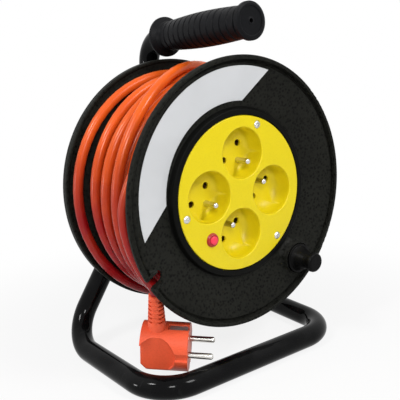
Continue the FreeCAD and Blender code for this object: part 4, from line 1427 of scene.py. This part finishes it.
@dataclass
class FrameTube:
    """The tube, bent in one length along its corners, and its ribbed grip."""

    radius: float = 9.0
    depth: float = 128.0
    bend_height: float = 122.0
    joint_height: float = 14.0
    leg_end: float = -8.0
    slope: float = 0.652
    floor_height: float = -134.0
    front_bar: float = -5.0
    front_half: float = 92.0
    rear_half: float = 96.5
    tilt: float = 2.48
    reach: float = 134.0
    bends: tuple[float, ...] = (0.0, 22.0, 40.0, 32.0, 33.0, 33.0, 32.0, 0.0)
    bend_steps: int = 20
    round_steps: int = 64
    grip_rear: float = 27.0
    grip_front: float = 138.2
    ribs: int = 14
    belly: float = 11.8
    belly_steps: int = 420
    swell: float = 1.9
    flare: float = 16.5
    disc: float = 13.9
    groove_depth: float = 1.1
    groove_width: float = 1.0
    cap: tuple[Corner, ...] = (
        (0.0, -9.8), (7.6, -9.8, 0.6), (7.7, 0.05), (8.95, 0.05, 0.3), (8.95, 1.95, 0.9), (0.0, 1.95)
    )

    def along_handle(self, distance: float) -> Vector:
        """Finds a point of the handle's middle line.

        Args:
            distance: How far it is from the handle's bend, in millimetres.

        Returns:
            The point in the row frame.
        """
        tilt = math.radians(self.tilt)
        along, up = distance * math.cos(tilt), distance * math.sin(tilt)
        return place(0.0, self.depth - along, self.bend_height + up)

    def leg_top(self) -> Vector:
        """The open upper end of the right leg, beside the post."""
        return place((self.joint_height - self.leg_end) * self.slope, self.depth, self.leg_end)

    def corners(self) -> list[Vector]:
        """Lists the corners of the tube's middle line.

        Returns:
            The corners, from the handle's end to the right leg's.
        """
        low = self.floor_height
        return [
            self.along_handle(self.reach),
            place(0.0, self.depth, self.bend_height),
            place(0.0, self.depth, self.joint_height),
            place(-self.rear_half, self.depth, low),
            place(-self.front_half, self.front_bar, low),
            place(self.front_half, self.front_bar, low),
            place(self.rear_half, self.depth, low),
            self.leg_top(),
        ]

    def tube(self) -> None:
        """Builds the tube: rounds the path's corners and runs a circle along it."""
        corners = self.corners()
        edges = [(i, i + 1) for i in range(len(corners) - 1)]
        mesh = marked_points("tube_path", corners, edges, "bend", [bend * MM for bend in self.bends])
        sizes = {
            "Tube Radius": ("Float", self.radius * MM),
            "Round Steps": ("Int", self.round_steps),
            "Bend Steps": ("Int", self.bend_steps),
        }
        recipe = Recipe("bent_tube", sizes)
        given = recipe.given
        path = recipe.add("GeometryNodeMeshToCurve", {"Mesh": given["Geometry"]}).outputs[0]
        inputs = {"Curve": path, "Radius": recipe.marked("bend"), "Count": given["Bend Steps"]}
        bent = recipe.add("GeometryNodeFilletCurve", inputs, mode="POLY").outputs[0]
        inputs = {"Resolution": given["Round Steps"], "Radius": given["Tube Radius"]}
        circle = recipe.add("GeometryNodeCurvePrimitiveCircle", inputs).outputs[0]
        inputs = {"Curve": bent, "Profile Curve": circle, "Fill Caps": True}
        recipe.close(recipe.add("GeometryNodeCurveToMesh", inputs).outputs[0])
        piece = recipe.run("bent_steel_tube", mesh, Slot.TUBE)
        smooth(piece.data, 50.0)
        finish_piece(piece, Body.FRAME, Slot.TUBE, "frame_tube")

    def sleeve(self, first: float, last: float) -> list[Corner]:
        """Draws the grip's outline without its grooves.

        Args:
            first: Where the ribbed part starts, from the handle's bend.
            last: Where it ends.

        Returns:
            The outline's corners.
        """
        rear, front, flare, disc = self.grip_rear, self.grip_front, self.flare, self.disc
        steps = self.belly_steps
        belly = [
            (self.belly + self.swell * math.sin(math.pi * i / steps), first + (last - first) * i / steps)
            for i in range(steps + 1)
        ]
        rear_end = [(9.0, rear), (14.0, rear), (14.4, rear + 0.5, 0.3), (flare, rear, 0.8)]
        rear_end += [(flare, rear + 3.0, 1.2), (12.6, rear + 5.5, 1.0)]
        front_end = [(11.9, front - 4.6), (disc, front - 3.6, 0.6), (disc, front, 1.0), (11.6, front, 0.4)]
        front_end += [(11.2, front - 0.5, 0.3), (3.6, front - 0.5, 0.3), (2.5, front, 0.3)]
        front_end += [(2.5, front - 4.0), (9.0, front - 4.0)]
        return rear_end + belly + front_end

    def grip(self) -> None:
        """Builds the grip: a turned sleeve whose ring grooves are pressed in by a rule."""
        first, last = self.grip_rear + 9.0, self.grip_front - 7.0
        root = self.along_handle(0.0)
        way = (self.along_handle(1.0) - root).normalized()
        sleeve = lathe("grip_sleeve", self.sleeve(first, last), root, way, closed=True)
        sizes = {
            "Root": ("Vector", tuple(root)),
            "Way": ("Vector", tuple(way)),
            "First": ("Float", first * MM),
            "Pitch": ("Float", (last - first) / (self.ribs - 1) * MM),
            "Grooves": ("Int", self.ribs),
            "Depth": ("Float", self.groove_depth * MM),
            "Width": ("Float", self.groove_width * MM),
        }
        recipe = Recipe("ribbed_grip", sizes)
        given = recipe.given
        local = recipe.vector("SUBTRACT", recipe.add("GeometryNodeInputPosition").outputs[0], given["Root"])
        along = recipe.vector("DOT_PRODUCT", local, given["Way"])
        axis = recipe.vector("SCALE", given["Way"], Scale=along)
        outwards = recipe.vector("NORMALIZE", recipe.vector("SUBTRACT", local, axis))
        spot = recipe.sum("DIVIDE", recipe.sum("SUBTRACT", along, given["First"]), given["Pitch"])
        nearest = recipe.sum("MAXIMUM", recipe.sum("ROUND", spot), 0.0)
        nearest = recipe.sum("MINIMUM", nearest, given["Grooves"])
        off = recipe.times(recipe.sum("ABSOLUTE", recipe.sum("SUBTRACT", spot, nearest)), given["Pitch"])
        share = recipe.sum("DIVIDE", off, given["Width"])
        press = recipe.times(recipe.band(share, 0.45, 1.1, 1.0, 0.0), given["Depth"])
        offset = recipe.vector("SCALE", outwards, Scale=recipe.times(press, -1.0))
        pressed = recipe.add("GeometryNodeSetPosition", {"Geometry": given["Geometry"], "Offset": offset})
        recipe.close(pressed.outputs[0])
        mesh = sleeve.data
        bpy.data.objects.remove(sleeve)
        piece = recipe.run("ribbed_grip", mesh, Slot.GRIP)
        smooth(piece.data, 34.0)
        finish_piece(piece, Body.FRAME, Slot.GRIP, "grip")

    def end_plug(self) -> None:
        """Builds the plastic plug in the open end of the right leg, with its domed head."""
        foot = self.leg_top()
        way = (place(self.joint_height * self.slope, self.depth, 0.0) - foot).normalized()
        piece = lathe("leg_end_plug", self.cap, foot, way, segments=64)
        finish_piece(piece, Body.FRAME, Slot.BLACK, "tube_end_cap")

    def build(self) -> None:
        """Builds the tube, its grip and its plug."""
        self.tube()
        self.grip()
        self.end_plug()


@dataclass
class Bracket:
    """The bearing plate on the back of the tube with its bolts, nuts and axle."""

    bolt_places: tuple[Station, ...] = ((0.0, 40.0), (-31.3, -34.0), (31.3, -34.0))
    seat: float = 116.0
    rear: float = 142.0
    head_height: float = 4.0
    shank_radius: float = 2.99
    nut_front: float = 137.0
    nut_height: float = 4.5
    nut_bore: float = 3.0
    flats: float = 5.0
    chamfer: float = 0.35

    def hexagon(self, shape: Shape, low: float, high: float, bore: float) -> None:
        """Adds a hexagon with chamfered corners and a round bore to a mesh, along the axle's direction.

        Args:
            shape: The mesh under construction.
            low: Depth of its front face.
            high: Depth of its rear face.
            bore: The bore's radius.
        """

        def across(angle: float) -> float:
            """Distance from the middle to the hexagon's side."""
            return self.flats / math.cos((angle + math.pi / 6) % (math.pi / 3) - math.pi / 6)

        angles = full_turn(48)
        sharp = [across(angle) for angle in angles]
        rounded = [min(radius, self.flats * 1.02) for radius in sharp]
        round_bore = [bore] * len(angles)
        levels = [(low, rounded), (low + self.chamfer, sharp), (high - self.chamfer, sharp), (high, rounded)]
        levels += [(high, round_bore), (low, round_bore)]
        rings = []
        for depth, radii in levels:
            spots = [Vector((r * math.cos(a), depth, r * math.sin(a))) for r, a in zip(radii, angles)]
            rings.append([shape.verts.new(spot * MM) for spot in spots])
        bridge(shape, rings, True)

    def template(self, name: str, low: float, high: float, bore: float, shank_end: float = 0.0) -> Piece:
        """Makes a nut, or a bolt where a shank end is given.

        Args:
            name: The template's name.
            low: Depth of the hexagon's front face.
            high: Depth of its rear face.
            bore: The bore's radius.
            shank_end: Depth at which the bolt's shank ends.

        Returns:
            The template.
        """
        shape = bmesh.new()
        self.hexagon(shape, low, high, bore)
        bmesh.ops.recalc_face_normals(shape, faces=shape.faces)
        if shank_end:
            start, radius = low + 0.4, self.shank_radius
            outline = [(0.0, start), (radius, start), (radius, shank_end, 0.6), (0.0, shank_end)]
            shank = lathe(name + "_shank", outline, Vector(), segments=48)
            shape.from_mesh(shank.data)
            bpy.data.objects.remove(shank)
        return mesh_piece(name, shape, 30.0)

    def build(self) -> None:
        """Builds the plate, the axle and the fasteners."""
        polished_copy("pressed_plate", "bearing_plate", Body.FRAME, Slot.PLATE)
        polished_copy("turned_axle", "axle", Body.FRAME, Slot.STEEL)
        polished_copy("thrust_ring", "thrust_washer", Body.FRAME, Slot.WHITE)
        places = [place(x, 0.0, z) for x, z in self.bolt_places]
        bolt = self.template("bolt", self.seat - self.head_height, self.seat, self.shank_radius, self.rear)
        repeated("hexagon_bolts", bolt, places, Body.FRAME, Slot.ZINC, "frame_bolts")
        nut = self.template("nut", self.nut_front, self.nut_front + self.nut_height, self.nut_bore)
        repeated("hexagon_nuts", nut, places, Body.FRAME, Slot.ZINC, "frame_nuts")


@dataclass
class CrossScrew:
    """A round-headed screw with a cross slot, which points along the axle."""

    head_radius: float
    head_height: float
    length: float
    slot_length: float
    shank_radius: float = 1.3
    slot_width: float = 0.9
    slot_depth: float = 0.7

    def template(self, name: str, way: float = 1.0) -> Piece:
        """Makes one screw with its head's seat at the origin.

        Args:
            name: The template's name.
            way: 1 where the screw points to the rear, or -1.

        Returns:
            The screw.
        """
        head, high, shank = self.head_radius, self.head_height, self.shank_radius
        outline = [(0.0, -high), (head * 0.7, -high, high * 0.4), (head, -high * 0.4, 0.25), (head, 0.0)]
        outline += [(shank, 0.0), (shank, self.length, 0.4), (0.0, self.length)]
        screw = lathe(name, outline, Vector(), AXLE_WAY * way, segments=48)
        shape = bmesh.new()
        middle = Matrix.Translation(Vector((0.0, -high * way, 0.0)) * MM)
        for wide, tall in ((self.slot_length, self.slot_width), (self.slot_width, self.slot_length)):
            add_box(shape, (wide, 2 * self.slot_depth, tall), middle)
        cutter = mesh_piece(name + "_cross", shape)
        cut_by(screw, cutter, crossing=True)
        piece = applied(name, screw)
        bpy.data.objects.remove(cutter)
        smooth(piece.data, 35.0)
        return piece


@dataclass
class FrontFlange:
    """The dished front disc, its bare label and the winding knob."""

    knob_circle: float = 85.5
    knob_angle: float = -45.0
    knob_outline: tuple[Corner, ...] = (
        (0.0, -19.0), (8.0, -19.0, 2.4), (8.2, -14.6, 0.9), (6.6, -13.4, 0.8), (7.2, -10.0, 1.5),
        (9.6, -2.6, 2.0), (10.8, -0.6, 0.8), (12.2, -0.2, 0.6), (12.2, 2.9, 0.5), (3.7, 2.9),
        (3.7, -9.2), (4.8, -10.0), (4.8, -13.4), (0.0, -13.4),
    )

    def build(self) -> None:
        """Builds the disc, the label and the knob, which is hollow over its pin."""
        polished_copy("front_disc", "front_flange", Body.DRUM, Slot.BLACK, 28.0)
        polished_copy("bare_label_film", "label", Body.DRUM, Slot.LABEL, 28.0)
        knob = lathe("turned_knob", self.knob_outline, on_drum(self.knob_circle, self.knob_angle, 0.0))
        finish_piece(knob, Body.KNOB, Slot.KNOB, "winding_knob")


@dataclass
class SocketPanel:
    """The yellow panel with its four wells, earth pins, screws and reset button."""

    screw_circle: float = 54.6
    screw_angles: tuple[float, ...] = (75.0, 195.0, 315.0)
    screw_turns: tuple[float, ...] = (20.0, 35.0, -15.0)
    screw_seat: float = 5.3
    button_circle: float = 43.8
    button_angle: float = 228.0
    button_travel: float = 1.4
    dome: tuple[Corner, ...] = ((0.0, 1.2), (2.0, 1.25), (3.35, 1.7, 0.9), (3.35, 12.0), (0.0, 12.0))
    ring: tuple[Corner, ...] = (
        (3.7, 2.6), (4.6, 2.6, 0.6), (5.5, 4.6, 0.1), (4.8, 4.6), (4.8, 7.1), (3.7, 7.1)
    )
    sockets: tuple[str, ...] = ("top", "left", "right", "bottom")

    def button(self) -> None:
        """Builds the domed button and the ring round it."""
        origin = on_drum(self.button_circle, self.button_angle, 0.0)
        dome = lathe("domed_button", self.dome, origin, segments=64)
        finish_piece(dome, Body.BUTTON, Slot.BUTTON, "reset_button")
        ring = lathe("button_ring", self.ring, origin, segments=64, closed=True)
        finish_piece(ring, Body.DRUM, Slot.BEZEL, "button_bezel")

    def spring(self) -> None:
        """Builds the button's spring as a smooth copy of the CAD node, with a mesh of its own."""
        piece = polished_copy("button_coil_spring", "button_spring", Body.DRUM, Slot.SPRING, 40.0)
        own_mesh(piece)

    def build(self) -> None:
        """Builds the panel and what is set in it."""
        polished_copy("moulded_panel", "socket_panel", Body.DRUM, Slot.YELLOW, 24.0)
        for name in self.sockets:
            polished_copy(f"{name}_earth_pin", f"earth_pin_{name}", Body.DRUM, Slot.NICKEL, 40.0)
        screw = CrossScrew(3.0, 1.4, 13.0, 3.3).template("panel_screw")
        places = [on_drum(self.screw_circle, angle, self.screw_seat) for angle in self.screw_angles]
        turns = self.screw_turns
        repeated("panel_screw_set", screw, places, Body.DRUM, Slot.ZINC, "panel_screws", turns=turns)
        self.button()
        self.spring()


@dataclass
class RearFlange:
    """The rear disc: a turned dish with spokes behind, and its screws."""

    spokes: int = 12
    spoke_start: float = 17.6
    spoke_end: float = 62.6
    spoke_width: float = 1.8
    spoke_height: float = 4.2
    spoke_sunk: float = 0.2
    spoke_round: float = 0.35
    screw_circle: float = 54.0
    screw_angles: tuple[float, ...] = (15.0, 105.0, 195.0, 285.0)
    screw_turns: tuple[float, ...] = (10.0, 50.0, 25.0, 75.0)
    face: float = 92.8
    outline: tuple[Corner, ...] = (
        (14.8, 90.2), (66.8, 90.2, 0.5), (98.6, 96.8, 0.5), (102.2, 96.8), (102.2, 95.0, 0.8),
        (105.0, 95.0, 1.2), (105.0, 102.0, 1.6), (101.7, 102.0, 0.6), (101.2, 97.9), (99.4, 97.9),
        (98.6, 99.4, 0.4), (66.8, 92.8, 0.8), (65.2, 97.6, 1.4), (62.8, 97.6, 0.8), (62.2, 92.8),
        (17.8, 92.8), (17.8, 99.5, 0.5), (14.8, 99.5),
    )

    def spoke(self) -> Piece:
        """Makes one spoke with rounded edges, along X from the hub's boss to the collar.

        Returns:
            The spoke, about the origin.
        """
        shape = bmesh.new()
        low, high = self.spoke_start, self.spoke_end
        depth = self.face + self.spoke_height / 2.0 - self.spoke_sunk / 2.0
        middle = place((low + high) / 2.0, depth, 0.0) - place(0.0, 0.0, 0.0)
        size = (high - low, self.spoke_height + self.spoke_sunk, self.spoke_width)
        add_box(shape, size, Matrix.Translation(middle))
        offset = self.spoke_round * MM
        bmesh.ops.bevel(shape, geom=shape.edges, offset=offset, segments=3, affect="EDGES", profile=0.5)
        return mesh_piece("spoke", shape, 40.0)

    def build(self) -> None:
        """Builds the dish, its spokes and its screws."""
        dish = lathe("rear_disc", self.outline, segments=180, closed=True)
        finish_piece(dish, Body.DRUM, Slot.BLACK, "rear_flange")
        centres = [place(0.0, 0.0, 0.0)] * self.spokes
        turns = [360.0 / self.spokes * i + DRUM_TURN for i in range(self.spokes)]
        repeated("rear_spokes", self.spoke(), centres, Body.DRUM, Slot.BLACK, turns=turns)
        screw = CrossScrew(3.4, 2.6, 14.0, 3.74, slot_depth=1.3).template("flange_screw", -1.0)
        places = [on_drum(self.screw_circle, angle, self.face) for angle in self.screw_angles]
        turns = self.screw_turns
        repeated("flange_screw_set", screw, places, Body.DRUM, Slot.ZINC, "flange_screws", turns=turns)


def dress_kept_nodes() -> None:
    """Gives every CAD node that still shows its slot's material."""
    slots = {item["node"]: item["material_slot"] for item in frame["record"]["subparts"]}
    for name, piece in frame["nodes"].items():
        if piece.hide_render:
            continue
        material = paint(Slot(slots[name]))
        for holder in piece.material_slots:
            holder.material = material
        log.info("%s keeps its own shape, in %s", name, slots[name])


def main() -> None:
    """Builds the reel's looks, sub-assembly by sub-assembly."""
    logging.basicConfig(level=logging.INFO, format="%(message)s")
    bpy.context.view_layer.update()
    for assembly in (Studio, WoundCord, Plug, FrameTube, Bracket, RearFlange, FrontFlange, SocketPanel):
        assembly().build()
    dress_kept_nodes()


if __name__ == "__main__":
    main()
